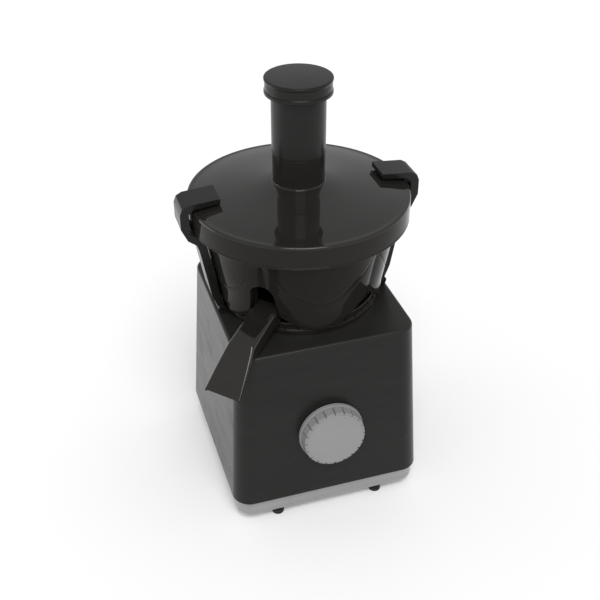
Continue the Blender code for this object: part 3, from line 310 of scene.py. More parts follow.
def black_plastic():
    """Satin moulded plastic: a fine eroded grain, soft flow marks, and a rub of handling."""
    made = Finish("black_plastic", {"Specular IOR Level": 0.2})
    flow = made.noise(0.05, (0.35, 0.35, 2.6), 3)
    cloud = made.noise(0.11)
    grain = made.noise(0.0006, detail=1)
    scratches = made.patches(0.0035, 0.66, 0.74, (1, 1, 0.04), 1)
    rubbed = made.patches(0.035, 0.5, 0.8, detail=2.0)
    tone = flow * 0.5 + cloud * 0.5 + scratches * 0.12
    rough = 0.2 + flow * 0.1 + rubbed * 0.07 + scratches * 0.06
    return made.done(made.paint(colours().black, 0.3, tone), rough, grain + scratches * 0.4, 0.02 * MM, 0.5)


def housing_plastic():
    """The housing's satin plastic, drawn out in faint level streaks, with its deck painted lighter: a painted
    sheen for the light the top face reflects.
    """
    made = Finish("housing_plastic", {"Specular IOR Level": 0.2})
    height = made.term("ShaderNodeSeparateXYZ", None, {"Vector": made.place}, "Z")
    # painted sheen: this mask picks out the top face, deck and rounded edge, by height alone
    deck = made.share(height, DECK - 4 * MM, DECK - 1 * MM)
    streak = made.noise(0.012, (0.16, 0.16, 1), 3)
    fine = made.noise(0.003, (0.1, 0.1, 1), 1)
    cloud = made.noise(0.11)
    grain = made.noise(0.0006, detail=1)
    rubbed = made.patches(0.035, 0.5, 0.8, detail=2.0)
    tone = streak * 0.55 + fine * 0.25 + cloud * 0.2
    plain = made.paint(colours().black, 0.45, tone)
    # painted sheen: the top face is painted 1.9 times lighter than the sides, standing in for the light it
    # reflects
    wear_and_sheen = made.paint(tuple(1.9 * c for c in colours().black), 0.3, tone)
    rough = 0.2 + streak * 0.12 + rubbed * 0.07
    return made.done(made.mix(deck, plain, wear_and_sheen), rough, grain, 0.02 * MM, 0.5)


def smoky_plastic():
    """Glossy smoke-black plastic with faint smears and hairline scratches."""
    return smoky("smoky_plastic", 0.05)


def bright_smoky():
    """The same plastic where it is thick and polished: spout and collar."""
    return smoky("bright_smoky", 0.42)


def smoky(name, gloss):
    made = Finish(name, {"Specular IOR Level": gloss})
    cloud = made.noise(0.07)
    smear = made.patches(0.022, 0.45, 0.8, (1, 1, 0.6))
    hairline = made.patches(0.0022, 0.72, 0.78, (1, 0.05, 1), 0)
    ripple = made.noise(0.03, detail=0)
    brown = made.paint(colours().smoky, 0.35, cloud)
    wear_and_sheen = made.mix(hairline * 0.25, brown, (0.03, 0.029, 0.027, 1))
    rough = 0.07 + smear * 0.06 + hairline * 0.06
    return made.done(wear_and_sheen, rough, ripple, 0.05 * MM, 0.25)


def lid_gloss():
    """The lid's polished smoke-black plastic, level and mirror-like, with a few wiping marks."""
    made = Finish("lid_gloss", {"Specular IOR Level": 0.1, "Coat Roughness": 0.04})
    height = made.term("ShaderNodeSeparateXYZ", None, {"Vector": made.place}, "Z")
    above = made.share(height, LID_TOP - 3 * MM, LID_TOP - 1.2 * MM)
    below_neck = 1 - made.share(height, LID_TOP + 12 * MM, LID_TOP + 14 * MM)
    cloud = made.noise(0.09)
    smear = made.patches(0.03, 0.5, 0.8, (1, 0.4, 1))
    hairline = made.patches(0.0018, 0.73, 0.79, (0.04, 1, 1), 0)
    rough = 0.04 + smear * 0.05 + hairline * 0.05
    return made.done(made.paint(colours().lid, 0.3, cloud),
                     rough, hairline, 0.01 * MM, 0.3, Coat_Weight=above * below_neck * 0.55)


def silver_plastic():
    """Silver-grey paint with metal flake, drawn out in faint level streaks."""
    made = Finish("silver_plastic", {"Metallic": 0.35, "Coat Weight": 0.3, "Coat Roughness": 0.12})
    flake = made.noise(0.0007, detail=0)
    streak = made.noise(0.006, (0.05, 0.05, 1), 2)
    scuff = made.patches(0.012, 0.6, 0.75, (1, 1, 0.3))
    tone = flake * 0.35 + streak * 0.65 - scuff * 0.15
    return made.done(made.paint(colours().silver, 0.32, tone),
                     0.3 + flake * 0.1 + scuff * 0.12, flake, 0.01 * MM, 0.4)


def black_steel():
    """Blackened steel, rubbed bright in places."""
    made = Finish("black_steel", {"Metallic": 0.8})
    rubbed = made.patches(0.003, 0.6, 0.8)
    grain = made.noise(0.0007, detail=1)
    return made.done(made.mix(rubbed * 0.4, (0.02, 0.02, 0.021, 1), (0.2, 0.2, 0.2, 1)),
                     0.45 - rubbed * 0.12, grain, 0.01 * MM, 0.4)


def knob_plastic():
    """Light grey plastic with a fine matt grain, polished a little by fingers."""
    made = Finish("knob_plastic", {"Specular IOR Level": 0.4})
    grain = made.noise(0.0005, detail=1)
    cloud = made.noise(0.03)
    polished = made.patches(0.014, 0.5, 0.7)
    return made.done(made.paint(colours().knob, 0.07, cloud * 0.7 + grain * 0.3),
                     0.52 - polished * 0.14, grain, 0.015 * MM, 0.5)


def rubber():
    """Dull rubber with bloom."""
    made = Finish("rubber", {"Specular IOR Level": 0.3})
    bloom = made.patches(0.006, 0.45, 0.75)
    grain = made.noise(0.0008, detail=2)
    return made.done(made.paint(colours().rubber, 0.5, bloom), 0.72 + bloom * 0.15, grain, 0.03 * MM, 0.6)


def steel():
    """Bright steel with fine level brush marks and faint stains."""
    made = Finish("steel", {"Metallic": 1.0})
    brush = made.noise(0.0011, (0.06, 0.06, 1), 2)
    stain = made.patches(0.012, 0.5, 0.75)
    return made.done(made.paint(colours().steel, 0.18, brush * 0.7 + stain * 0.3),
                     0.2 + brush * 0.14 + stain * 0.08, brush, 0.01 * MM, 0.5)


def laminations():
    """Stacked sheet steel: a line for every sheet, and blue-brown oil stains."""
    made = Finish("laminations", {"Metallic": 0.85})
    sheets = made.bands(0.9 * MM, "Z")
    stain = made.noise(0.01, detail=3)
    return made.done(made.paint(colours().sheet, 0.4, sheets * 0.4 + stain * 0.6),
                     0.38 + stain * 0.22, sheets, 0.05 * MM, 0.6)


def copper():
    """Enamelled copper, darker where the varnish lies thick."""
    made = Finish("copper", {"Metallic": 1.0, "Coat Weight": 0.3})
    varnish = made.patches(0.004, 0.4, 0.75)
    scratches = made.noise(0.0009, (1, 1, 0.1), 1)
    return made.done(made.paint(colours().copper, 0.3, 1 - varnish * 0.8),
                     0.25 + varnish * 0.2, scratches, 0.02 * MM, 0.4)


def white_plastic():
    """Off-white engineering plastic, a little yellowed."""
    made = Finish("white_plastic", {"Specular IOR Level": 0.4})
    yellow = made.noise(0.012, detail=2)
    grain = made.noise(0.0006, detail=1)
    return made.done(made.paint(colours().white, 0.08, yellow), 0.42 + grain * 0.12, grain, 0.015 * MM, 0.4)


def board_green():
    """Solder mask over copper tracks."""
    made = Finish("board_green", {"Coat Weight": 0.5, "Coat Roughness": 0.1})
    across = made.share(made.bands(5 * MM, "X"), 0.62, 0.7)
    along = made.share(made.bands(4 * MM, "Y"), 0.78, 0.84)
    tracks = across.math("MAXIMUM", across, along)
    return made.done(made.paint(colours().board, 0.45, tracks), 0.34 - tracks * 0.06, tracks, 0.04 * MM, 0.8)


def floor_paint():
    """Pale studio floor with the faintest cloud."""
    made = Finish("floor_paint", {"Specular IOR Level": 0.1})
    cloud = made.noise(0.8, detail=1)
    return made.done(made.paint((0.97, 0.97, 0.97), 0.01, cloud), 0.85 + cloud * 0.05)


def finish(maker):
    """The material that a finish function makes, made once."""
    return bpy.data.materials.get(maker.__name__ + "_finish") or maker()


# ---------------------------------------------------------------- geometry trees

def named_tree(name, sockets):
    """An empty geometry tree with named inputs. Gives the tree, its builder and a term for every input."""
    group = bpy.data.node_groups.new(name, "GeometryNodeTree")
    group.interface.new_socket("Geometry", in_out="OUTPUT", socket_type="NodeSocketGeometry")
    kinds = {"Geometry": "NodeSocketGeometry", "Material": "NodeSocketMaterial", **sockets}
    for label, kind in kinds.items():
        group.interface.new_socket(label, in_out="INPUT", socket_type=kind)
    builder = Tree(group)
    entry = builder.node("NodeGroupInput")
    return group, builder, {label: Term(builder, entry.outputs[label]) for label in kinds}


def ended(builder, instances, material):
    """Ends a tree: the copies become real mesh and get their material."""
    real = builder.node("GeometryNodeRealizeInstances", None, {"Geometry": instances})
    values = {"Geometry": real.outputs[0], "Material": material}
    painted = builder.node("GeometryNodeSetMaterial", None, values)
    builder.node("NodeGroupOutput", None, {0: painted.outputs[0]})


def copies_in_rows():
    """Copies of a mesh in level rows around Z. Each faces outwards, and widens with its row's radius."""
    number, real = "NodeSocketInt", "NodeSocketFloat"
    sockets = dict.fromkeys(("Low Radius", "High Radius", "Low Height", "High Height", "Stagger", "Lean",
                             "Start", "Widen"), real)
    sockets.update({"Per Row": number, "Rows": number})
    group, builder, value = named_tree("copies_in_rows", sockets)
    index = builder.term("GeometryNodeInputIndex")
    row = index.math("FLOOR", (index + 0.5) / value["Per Row"])
    column = index - row * value["Per Row"]
    rise = row / index.math("MAXIMUM", value["Rows"] - 1, 1)
    radius = value["Low Radius"] + (value["High Radius"] - value["Low Radius"]) * rise
    height = value["Low Height"] + (value["High Height"] - value["Low Height"]) * rise
    bearing = (column + row * value["Stagger"]) * TURN / value["Per Row"] + value["Start"]
    place = builder.term("ShaderNodeCombineXYZ", None, {
        "X": radius * bearing.math("COSINE", bearing), "Y": radius * bearing.math("SINE", bearing),
        "Z": height})
    turned_to = builder.term("ShaderNodeCombineXYZ", None, {"Y": value["Lean"], "Z": bearing})
    grown_by = radius.math("POWER", radius / value["Low Radius"], value["Widen"])
    widened = builder.term("ShaderNodeCombineXYZ", None, {"X": 1.0, "Y": grown_by, "Z": 1.0})
    points = builder.term("GeometryNodePoints", None, {"Count": value["Per Row"] * value["Rows"],
                                                        "Position": place})
    copies = builder.term("GeometryNodeInstanceOnPoints", None, {
        "Points": points, "Instance": value["Geometry"], "Rotation": turned_to, "Scale": widened})
    ended(builder, copies, value["Material"])
    return group


def copies_at_places():
    """A copy of another object's mesh at every point of the input mesh."""
    group, builder, value = named_tree("copies_at_places", {"Copy": "NodeSocketObject"})
    points = builder.term("GeometryNodeMeshToPoints", None, {"Mesh": value["Geometry"]})
    copy = builder.term("GeometryNodeObjectInfo", None, {"Object": value["Copy"]}, "Geometry")
    copies = builder.term("GeometryNodeInstanceOnPoints", None, {"Points": points, "Instance": copy})
    ended(builder, copies, value["Material"])
    return group


def tree(maker):
    """The tree that a function makes, made once, under the function's name."""
    return bpy.data.node_groups.get(maker.__name__) or maker()


def loose(name, data):
    obj = bpy.data.objects.new(name, data)
    bpy.context.scene.collection.objects.link(obj)
    return obj


def baked(obj):
    """The plain mesh of an object with its modifiers. The object is removed."""
    bpy.context.view_layer.update()
    graph = bpy.context.evaluated_depsgraph_get()
    mesh = bpy.data.meshes.new_from_object(
        obj.evaluated_get(graph), preserve_all_data_layers=True, depsgraph=graph)
    bpy.data.objects.remove(obj)
    return mesh


def modified(mesh, *modifiers):
    """The plain mesh of a mesh with modifiers, each given as its kind and its settings."""
    obj = loose("modified", mesh)
    for kind, settings in modifiers:
        made = obj.modifiers.new(kind, kind)
        for name, value in settings.items():
            setattr(made, name, value)
    return baked(obj)


def wall_inside(thickness):
    return "SOLIDIFY", {"thickness": thickness, "offset": -1, "use_even_offset": True}


def soft_edges(width, limit):
    """Rounds the edges that are sharper than a limit in degrees."""
    return "BEVEL", {"width": width, "segments": 2, "limit_method": "ANGLE",
                     "angle_limit": math.radians(limit)}


def grown(mesh, maker, inputs):
    """The plain mesh that a geometry tree makes of a mesh."""
    obj = loose("growing", mesh)
    modifier = obj.modifiers.new("tree", "NODES")
    modifier.node_group = tree(maker)
    for item in modifier.node_group.interface.items_tree:
        if item.in_out == "INPUT" and item.name in inputs:
            modifier[item.identifier] = inputs[item.name]
    return baked(obj)


def in_rows(mesh, maker, per_row, rows, radii, heights, matrix=BOWL_AXIS, stagger=0.0, lean=0.0, start=0.0,
            widen=0.0):
    """Copies of a mesh in level rings, from the lowest radius and height to the highest."""
    inputs = {"Material": finish(maker), "Per Row": per_row, "Rows": rows, "Low Radius": radii[0],
              "High Radius": radii[1], "Low Height": heights[0], "High Height": heights[1],
              "Stagger": stagger, "Lean": lean, "Start": start, "Widen": widen}
    result = grown(mesh, copies_in_rows, inputs)
    result.transform(matrix)
    return result


def around(mesh, maker, number, radius, height, matrix=BOWL_AXIS, start=0.0):
    """Copies of a mesh in one ring."""
    return in_rows(mesh, maker, number, 1, (radius, radius), (height, height), matrix, start=start)


def at_places(mesh, maker, places):
    """Copies of a mesh at a list of places."""
    points = bpy.data.meshes.new("places")
    points.from_pydata(places, [], [])
    copy = loose("copy", mesh)
    result = grown(points, copies_at_places, {"Material": finish(maker), "Copy": copy})
    bpy.data.objects.remove(copy)
    return result


# ---------------------------------------------------------------- mesh making

def to_mesh(shape, matrix=Matrix(), recalculated=True):
    if recalculated:
        bmesh.ops.recalc_face_normals(shape, faces=shape.faces)
    mesh = bpy.data.meshes.new("made")
    shape.to_mesh(mesh)
    shape.free()
    mesh.transform(matrix)
    return mesh


def outward(shape, face, up):
    """The mesh of an open shape, turned outwards as one face that looks up or down tells."""
    bmesh.ops.recalc_face_normals(shape, faces=shape.faces)
    if (face.normal.z > 0) != up:
        bmesh.ops.reverse_faces(shape, faces=shape.faces)
    return to_mesh(shape, recalculated=False)


def softened(outline, steps=5):
    """An outline of (x, y) or (x, y, radius) points, with a curve at every point that has a radius."""
    most = 0.48
    result = []
    for i, point in enumerate(outline):
        here = Vector(point[:2])
        if len(point) < 3:
            result.append(here)
            continue
        before = Vector(outline[i - 1][:2]) - here
        after = Vector(outline[(i + 1) % len(outline)][:2]) - here
        start = here + before * min(point[2] / before.length, most)
        end = here + after * min(point[2] / after.length, most)
        for k in range(steps + 1):
            t = k / steps
            result.append(start * (1 - t) ** 2 + here * 2 * t * (1 - t) + end * t ** 2)
    return [(p.x, p.y) for p in result]


def bridged(shape, first, second):
    """Faces between two loops of vertices, either of which may be a single pole."""
    total = max(len(first), len(second))
    for i in range(total):
        k = (i + 1) % total
        corners = (first[i % len(first)], first[k % len(first)],
                   second[k % len(second)], second[i % len(second)])
        shape.faces.new(list(dict.fromkeys(corners)))


def lofted(shape, loops):
    for first, second in zip(loops, loops[1:]):
        bridged(shape, first, second)


def turned(outline, steps=128, soft=5, matrix=BOWL_AXIS):
    """A body turned about Z from an outline of (radius, height), a loop unless its ends are on the axis."""
    shape = bmesh.new()
    rings = []
    for radius, height in softened(outline, soft):
        number = 1 if radius < TINY else steps
        ring = []
        for i in range(number):
            bearing = TURN * i / steps
            ring.append(shape.verts.new((radius * math.cos(bearing), radius * math.sin(bearing), height)))
        rings.append(ring)
    lofted(shape, rings)
    if len(rings[0]) > 1 and len(rings[-1]) > 1:
        bridged(shape, rings[-1], rings[0])
    return to_mesh(shape, matrix)


def at(x, y):
    return Matrix.Translation((x, y, 0))


def peg(radius, bottom, top, matrix, steps=32):
    return turned([(0, bottom), (radius, bottom), (radius, top), (0, top)], steps, matrix=matrix)


def tube_ring(inner, outer, bottom, top, edge, steps=64):
    """A ring with soft edges."""
    outline = [(inner, bottom, edge), (outer, bottom, edge), (outer, top, edge), (inner, top, edge)]
    return turned(outline, steps, 3)


def round_rectangle(half_x, half_y, corner, steps=10):
    points = []
    for quarter, (x, y) in enumerate(((1, 1), (-1, 1), (-1, -1), (1, -1))):
        for i in range(steps + 1):
            bearing = TURN / 4 * (quarter + i / steps)
            points.append((x * (half_x - corner) + corner * math.cos(bearing),
                           y * (half_y - corner) + corner * math.sin(bearing)))
    return points


def shell(rows, wall):
    """A walled box from rows of (half width, half depth, corner, height), closed at its last row."""
    shape = bmesh.new()
    loops = [[shape.verts.new((x, y, row[3])) for x, y in round_rectangle(*row[:3])] for row in rows]
    lofted(shape, loops)
    cap = shape.faces.new(loops[-1])
    return modified(outward(shape, cap, rows[-1][3] > rows[0][3]), wall_inside(wall))


def block(size, edge=0.0, centre=(0, 0, 0)):
    """A box with rounded edges."""
    shape = bmesh.new()
    bmesh.ops.create_cube(shape, size=1)
    bmesh.ops.scale(shape, vec=size, verts=shape.verts)
    bmesh.ops.translate(shape, vec=centre, verts=shape.verts)
    if edge:
        bmesh.ops.bevel(shape, geom=shape.edges[:], offset=edge, segments=2, profile=0.5, affect="EDGES")
    return to_mesh(shape)


def flat_body(outline, thickness, matrix=Matrix()):
    """A flat body from an outline, half its thickness to each side of its plane."""
    shape = bmesh.new()
    faces = [[shape.verts.new((x, y, z)) for x, y in outline] for z in (-thickness / 2, thickness / 2)]
    lofted(shape, faces)
    for face in faces:
        shape.faces.new(face)
    return to_mesh(shape, matrix)


def joined(*meshes):
    shape = bmesh.new()
    for mesh in meshes:
        shape.from_mesh(mesh)
    return to_mesh(shape, recalculated=False)


def cut(mesh, *tools):
    """A mesh less its tools, which must not touch each other."""
    tool = loose("tool", joined(*tools))
    tool.hide_render = True
    result = modified(mesh, ("BOOLEAN", {"operation": "DIFFERENCE", "solver": "EXACT", "object": tool}))
    bpy.data.objects.remove(tool)
    return result


def refined(node, edge, limit=40):
    """A copy of a CAD node with its facets merged and its sharp edges rounded."""
    shape = bmesh.new()
    shape.from_mesh(frame["nodes"][node].data)
    bmesh.ops.remove_doubles(shape, verts=shape.verts, dist=TINY)
    bmesh.ops.dissolve_limit(shape, angle_limit=math.radians(0.3), verts=shape.verts, edges=shape.edges)
    return modified(to_mesh(shape, recalculated=False), soft_edges(edge, limit))


def piece(name, mesh, maker, body, *nodes, crease=38):
    """Sets a finished piece in place: smooth faces, its material, its body, the nodes it stands for."""
    mesh.materials.clear()
    mesh.materials.append(finish(maker))
    mesh.shade_smooth()
    mesh.set_sharp_from_angle(angle=math.radians(crease))
    obj = loose(name, modified(mesh, ("WEIGHTED_NORMAL", {"keep_sharp": True})))
    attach(obj, body)
    if nodes:
        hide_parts(*nodes)
    return obj


def kept(name, node, maker, body, edge, limit=40, crease=38):
    """A piece that keeps the shape of its CAD node, with its edges rounded."""
    piece(name, refined(node, edge, limit), maker, body, node, crease=crease)


def spot(node):
    """Middle of a node's box, seen from above."""
    first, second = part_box(node)
    return (first.x + second.x) / 2, (first.y + second.y) / 2


def span(node):
    """Radius, lower end and upper end of a round upright node."""
    first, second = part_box(node)
    return (second.x - first.x) / 2, first.z, second.z


class Maker:
    """What all groups share: each makes its pieces from the scene's sizes."""

    def execute(self, context):
        self.make(context.scene.juicer_sizes)
        return {"FINISHED"}


# ---------------------------------------------------------------- housing and base

def arc_rows(half_x, half_y, corner, edge, base, way, steps=6):
    """Rows that round a box's rim, from its side to its flat face, going up or down."""
    rows = []
    for i in range(1, steps + 1):
        bearing = TURN / 4 * i / steps
        inset = edge * (1 - math.cos(bearing))
        rows.append((half_x - inset, half_y - inset, corner - inset, base + way * edge * math.sin(bearing)))
    return rows


def housing_mesh(sizes):
    side = DECK - SEAM
    lip = 0.5 * MM
    top = side - sizes.deck_edge
    draft = sizes.draft * top / side
    rows = []
    for inwards, up in ((lip, 0), (0.3 * lip, 0.3 * lip), (0, lip)):
        rows.append((HALF_WIDTH - inwards, HALF_DEPTH - inwards, sizes.corner - inwards, SEAM + up))
    steps = 12
    for i in range(1, steps + 1):
        inset = draft * i / steps
        rows.append((HALF_WIDTH - inset, HALF_DEPTH - inset, sizes.corner, SEAM + top * i / steps))
    rows += arc_rows(HALF_WIDTH - draft, HALF_DEPTH - draft, sizes.corner, sizes.deck_edge, SEAM + top, 1)
    through_deck = (DECK - 6 * MM, DECK + 3 * MM)
    tools = [peg(14 * MM, *through_deck, BOWL_AXIS, 48)]
    tools += [peg(SCREW_HOLE, *through_deck, at(*spot(name))) for name in COLLAR_SCREWS]
    tools.append(peg(5 * MM, -8 * MM, 3 * MM, FRONT))
    gland = (low("cord_gland").z + high("cord_gland").z) / 2
    rear = Matrix.Translation((0, HALF_DEPTH, gland)) @ Matrix.Rotation(math.pi / 2, 4, "X")
    tools.append(peg(5.3 * MM, -6 * MM, 14 * MM, rear))
    return cut(shell(rows, sizes.wall), *tools)


def pan_mesh(sizes):
    corner = sizes.corner - (HALF_WIDTH - PAN_HALF_WIDTH)
    top = high("base_pan").z
    edge = sizes.pan_edge
    lip = 0.3 * MM
    rows = [(PAN_HALF_WIDTH - lip, PAN_HALF_DEPTH - lip, corner - lip, top)]
    for height in (top - 0.5 * MM, (top + edge) / 2, edge):
        rows.append((PAN_HALF_WIDTH, PAN_HALF_DEPTH, corner, height))
    rows += arc_rows(PAN_HALF_WIDTH, PAN_HALF_DEPTH, corner, edge, edge, -1)
    tools = []
    for names, radius in ((FEET, 2.3 * MM), (PAN_SCREWS, SCREW_HOLE)):
        tools += [peg(radius, -2 * MM, 6 * MM, at(*spot(name)), 24) for name in names]
    half, reach, pitch, number = 2 * MM, 22 * MM, 9 * MM, 7
    slot = softened([(x * half, y * reach, half) for x, y in ((-1, -1), (1, -1), (1, 1), (-1, 1))])
    for i in range(number):
        for way in (-1, 1):
            place = ((i - number // 2) * pitch, way * 30 * MM, sizes.wall / 2)
            tools.append(flat_body(slot, 4 * sizes.wall, Matrix.Translation(place)))
    return cut(shell(rows, sizes.wall), *tools)


class JUICER_OT_housing(Maker, bpy.types.Operator):
    """Makes the housing and the base pan"""
    bl_idname = "juicer.housing"
    bl_label = "Housing and base pan"

    def make(self, sizes):
        piece("housing_shell", housing_mesh(sizes), housing_plastic, "base", "housing")
        piece("base_pan_shell", pan_mesh(sizes), silver_plastic, "base", "base_pan")


def screw_mesh(down):
    """A pan-head screw with a cross recess, its seat at zero height, reaching down."""
    wide, shank, turns = 3.4 * MM, 1.7 * MM, 9
    thread = []
    for i in range(turns):
        height = -0.8 * MM - (down - 2 * MM) * i / turns
        thread += [(shank, height), (shank * 0.82, height - 0.45 * MM)]
    profile = [(0, HEAD), (wide * 0.6, HEAD), (wide * 0.88, HEAD * 0.75), (wide, HEAD * 0.35), (wide, 0),
               (shank, 0)] + thread + [(shank * 0.5, -down), (0, -down)]
    mesh = turned(profile, 20, matrix=Matrix())
    long, thin, deep = 3.6 * MM, 0.8 * MM, 1.6 * MM
    for size in ((long, thin, deep), (thin, long, deep)):
        mesh = cut(mesh, block(size, centre=(0, 0, HEAD)))
    return mesh


class JUICER_OT_fasteners(Maker, bpy.types.Operator):
    """Makes the rubber feet and all the screws"""
    bl_idname = "juicer.fasteners"
    bl_label = "Feet and screws"

    def make(self, sizes):
        for names in (PAN_SCREWS, MOTOR_SCREWS, COLLAR_SCREWS):
            head_down = names is PAN_SCREWS
            bottom, top = span(names[0])[1:]
            seat = bottom + HEAD if head_down else top - HEAD
            mesh = screw_mesh(top - bottom - HEAD)
            if head_down:
                mesh.transform(Matrix.Rotation(math.pi, 4, "X"))
            places = [(*spot(name), seat) for name in names]
            piece(names[0][:-1] + "set", at_places(mesh, steel, places), steel, "base", *names)
        stem, step, dish = 2 * MM, -0.3 * MM, 0.6 * MM
        for name in FEET:
            wide, z, top = span(name)
            profile = [(0, top), (stem, top, 0.5 * MM), (stem, step), (wide, step, 0.5 * MM),
                       (wide, z, 0.6 * MM), (wide * 0.7, z, 0.4 * MM), (wide * 0.6, z + dish, 0.4 * MM),
                       (0, z + dish)]
            piece(name + "_pad", turned(profile, 40, 3, at(*spot(name))), rubber, "base", name)


class JUICER_OT_collar(Maker, bpy.types.Operator):
    """Makes the glossy ring that the bowl stands on"""
    bl_idname = "juicer.collar"
    bl_label = "Deck collar"

    def make(self, sizes):
        bottom = DECK + 0.3 * MM
        floor = bottom + 2.5 * MM
        step = bottom + 5 * MM
        neck = COLLAR_RADIUS - 1.6 * MM
        inside = COLLAR_RADIUS - 4 * MM
        tube, tube_outside, tube_top = 10 * MM, 13 * MM, COLLAR_TOP - 1.5 * MM
        body = turned([
            (neck, COLLAR_TOP, 1 * MM), (neck, step, 0.5 * MM), (COLLAR_RADIUS, step, 0.6 * MM),
            (COLLAR_RADIUS, bottom, 0.4 * MM), (tube, bottom), (tube, tube_top, 0.5 * MM),
            (tube_outside, tube_top, 0.8 * MM), (tube_outside, floor, 1.5 * MM), (inside, floor, 1 * MM),
            (inside, COLLAR_TOP, 1 * MM)], 144)
        rib = block((1.2 * MM, 2.2 * MM, 6.2 * MM), 0.4 * MM)
        ribs = around(rib, smoky_plastic, 40, neck, step + 3 * MM)
        tools = [peg(SCREW_HOLE, bottom - 2 * MM, floor + 2 * MM, at(*spot(name)), 24)
                 for name in COLLAR_SCREWS]
        piece("collar_ring", joined(cut(body, *tools), ribs), bright_smoky, "base", "deck_collar")


# ---------------------------------------------------------------- bowl

def bowl_radius(height):
    """The bowl's outer radius: near upright at the foot, then flaring to the rim."""
    stops = [(BOWL_BOTTOM - 8 * MM, 83.2 * MM), (BOWL_BOTTOM + 9 * MM, 83.5 * MM),
             (BOWL_BOTTOM + 60 * MM, 93 * MM), (BOWL_BOTTOM + 83 * MM, RIM_RADIUS)]

    def straight(z):
        z = min(max(z, stops[0][0]), stops[-1][0])
        for (z0, r0), (z1, r1) in zip(stops, stops[1:]):
            if z <= z1:
                return r0 + (r1 - r0) * (z - z0) / (z1 - z0)
        return stops[-1][1]

    reach = 7 * MM
    return (straight(height - reach) + straight(height) + straight(height + reach)) / 3


def lobe_phase(bearing, sizes):
    """0 in the middle of the lobe that a bearing lies on, 1 at its ends."""
    share = (bearing - sizes.first_lobe) * sizes.lobes / TURN
    return abs(2 * (share - round(share)))


def soft_step(value):
    value = min(max(value, 0), 1)
    return value * value * (3 - 2 * value)


def skirt_edge(bearing, sizes):
    """Height of the skirt's scalloped lower edge, raised over the spout and clear of the lock arms."""
    edge = BOWL_BOTTOM - sizes.lobe_drop + sizes.lobe_rise * lobe_phase(bearing, sizes) ** 1.7
    arm_reach, arm_fade, arm_clearance, lowest = 26 * MM, 6 * MM, 1 * MM, 7 * MM
    across = abs(bowl_radius(BOWL_BOTTOM) * math.sin(bearing))
    beside = 1 - soft_step((arm_reach - across) / arm_fade)
    edge = max(edge, BOWL_BOTTOM + arm_clearance - (arm_clearance + lowest) * beside)
    outlet = sizes.spout_angle + math.asin(sizes.spout_offset / SKIRT_RADIUS)
    reach = sizes.outlet_width / 2 + 3 * MM
    away = abs(math.remainder(bearing - outlet, TURN)) * SKIRT_RADIUS / reach
    if away < 1:
        arch = BOWL_BOTTOM + sizes.outlet_height - 1 * MM
        arch += 7 * MM * (math.sqrt(1 - away ** 2) - 1)
        edge = max(edge, arch - 30 * MM * away ** 6)
    return edge


def bowl_column(bearing, sizes):
    """Radius and height of the bowl's outside at a bearing, from its foot up to its flange."""
    phase = lobe_phase(bearing, sizes)
    edge = skirt_edge(bearing, sizes)

    def skin(height):
        fade = soft_step((BOWL_FLANGE - 4 * MM - height) / (14 * MM))
        return bowl_radius(height) - sizes.crease * phase ** 7 * (0.35 + 0.65 * fade)

    foot = BOWL_BOTTOM + FOOT_CORNER
    inner_top = max(edge + 2 * MM, foot + 4 * MM)
    column = [(sizes.inner_radius, foot + (inner_top - foot) * i / 4) for i in range(5)]
    inside = skin(edge) - sizes.skirt_wall
    column += [(inside, inner_top), (inside, edge + 0.5 * MM), (inside + 0.4 * MM, edge + 0.1 * MM),
               (skin(edge) - 0.5 * MM, edge), (skin(edge) - 0.1 * MM, edge + 0.4 * MM)]
    bead = edge + sizes.bead_height * (1 - 0.1 * phase)
    bead = min(bead + 24 * MM * phase ** 2, BOWL_FLANGE - 3 * MM)
    bead = max(bead, edge + 6 * MM)
    steps = 8
    heights = [edge + 0.4 * MM + (bead - 1.2 * MM - edge) * i / steps for i in range(1, steps + 1)]
    column += [(skin(height), height) for height in heights]
    column.append((skin(bead) - 0.55 * MM, bead + 0.1 * MM))
    above = bead + 0.9 * MM
    heights = [above + (BOWL_FLANGE - above) * i / steps for i in range(steps + 1)]
    return column + [(skin(height), height) for height in heights]


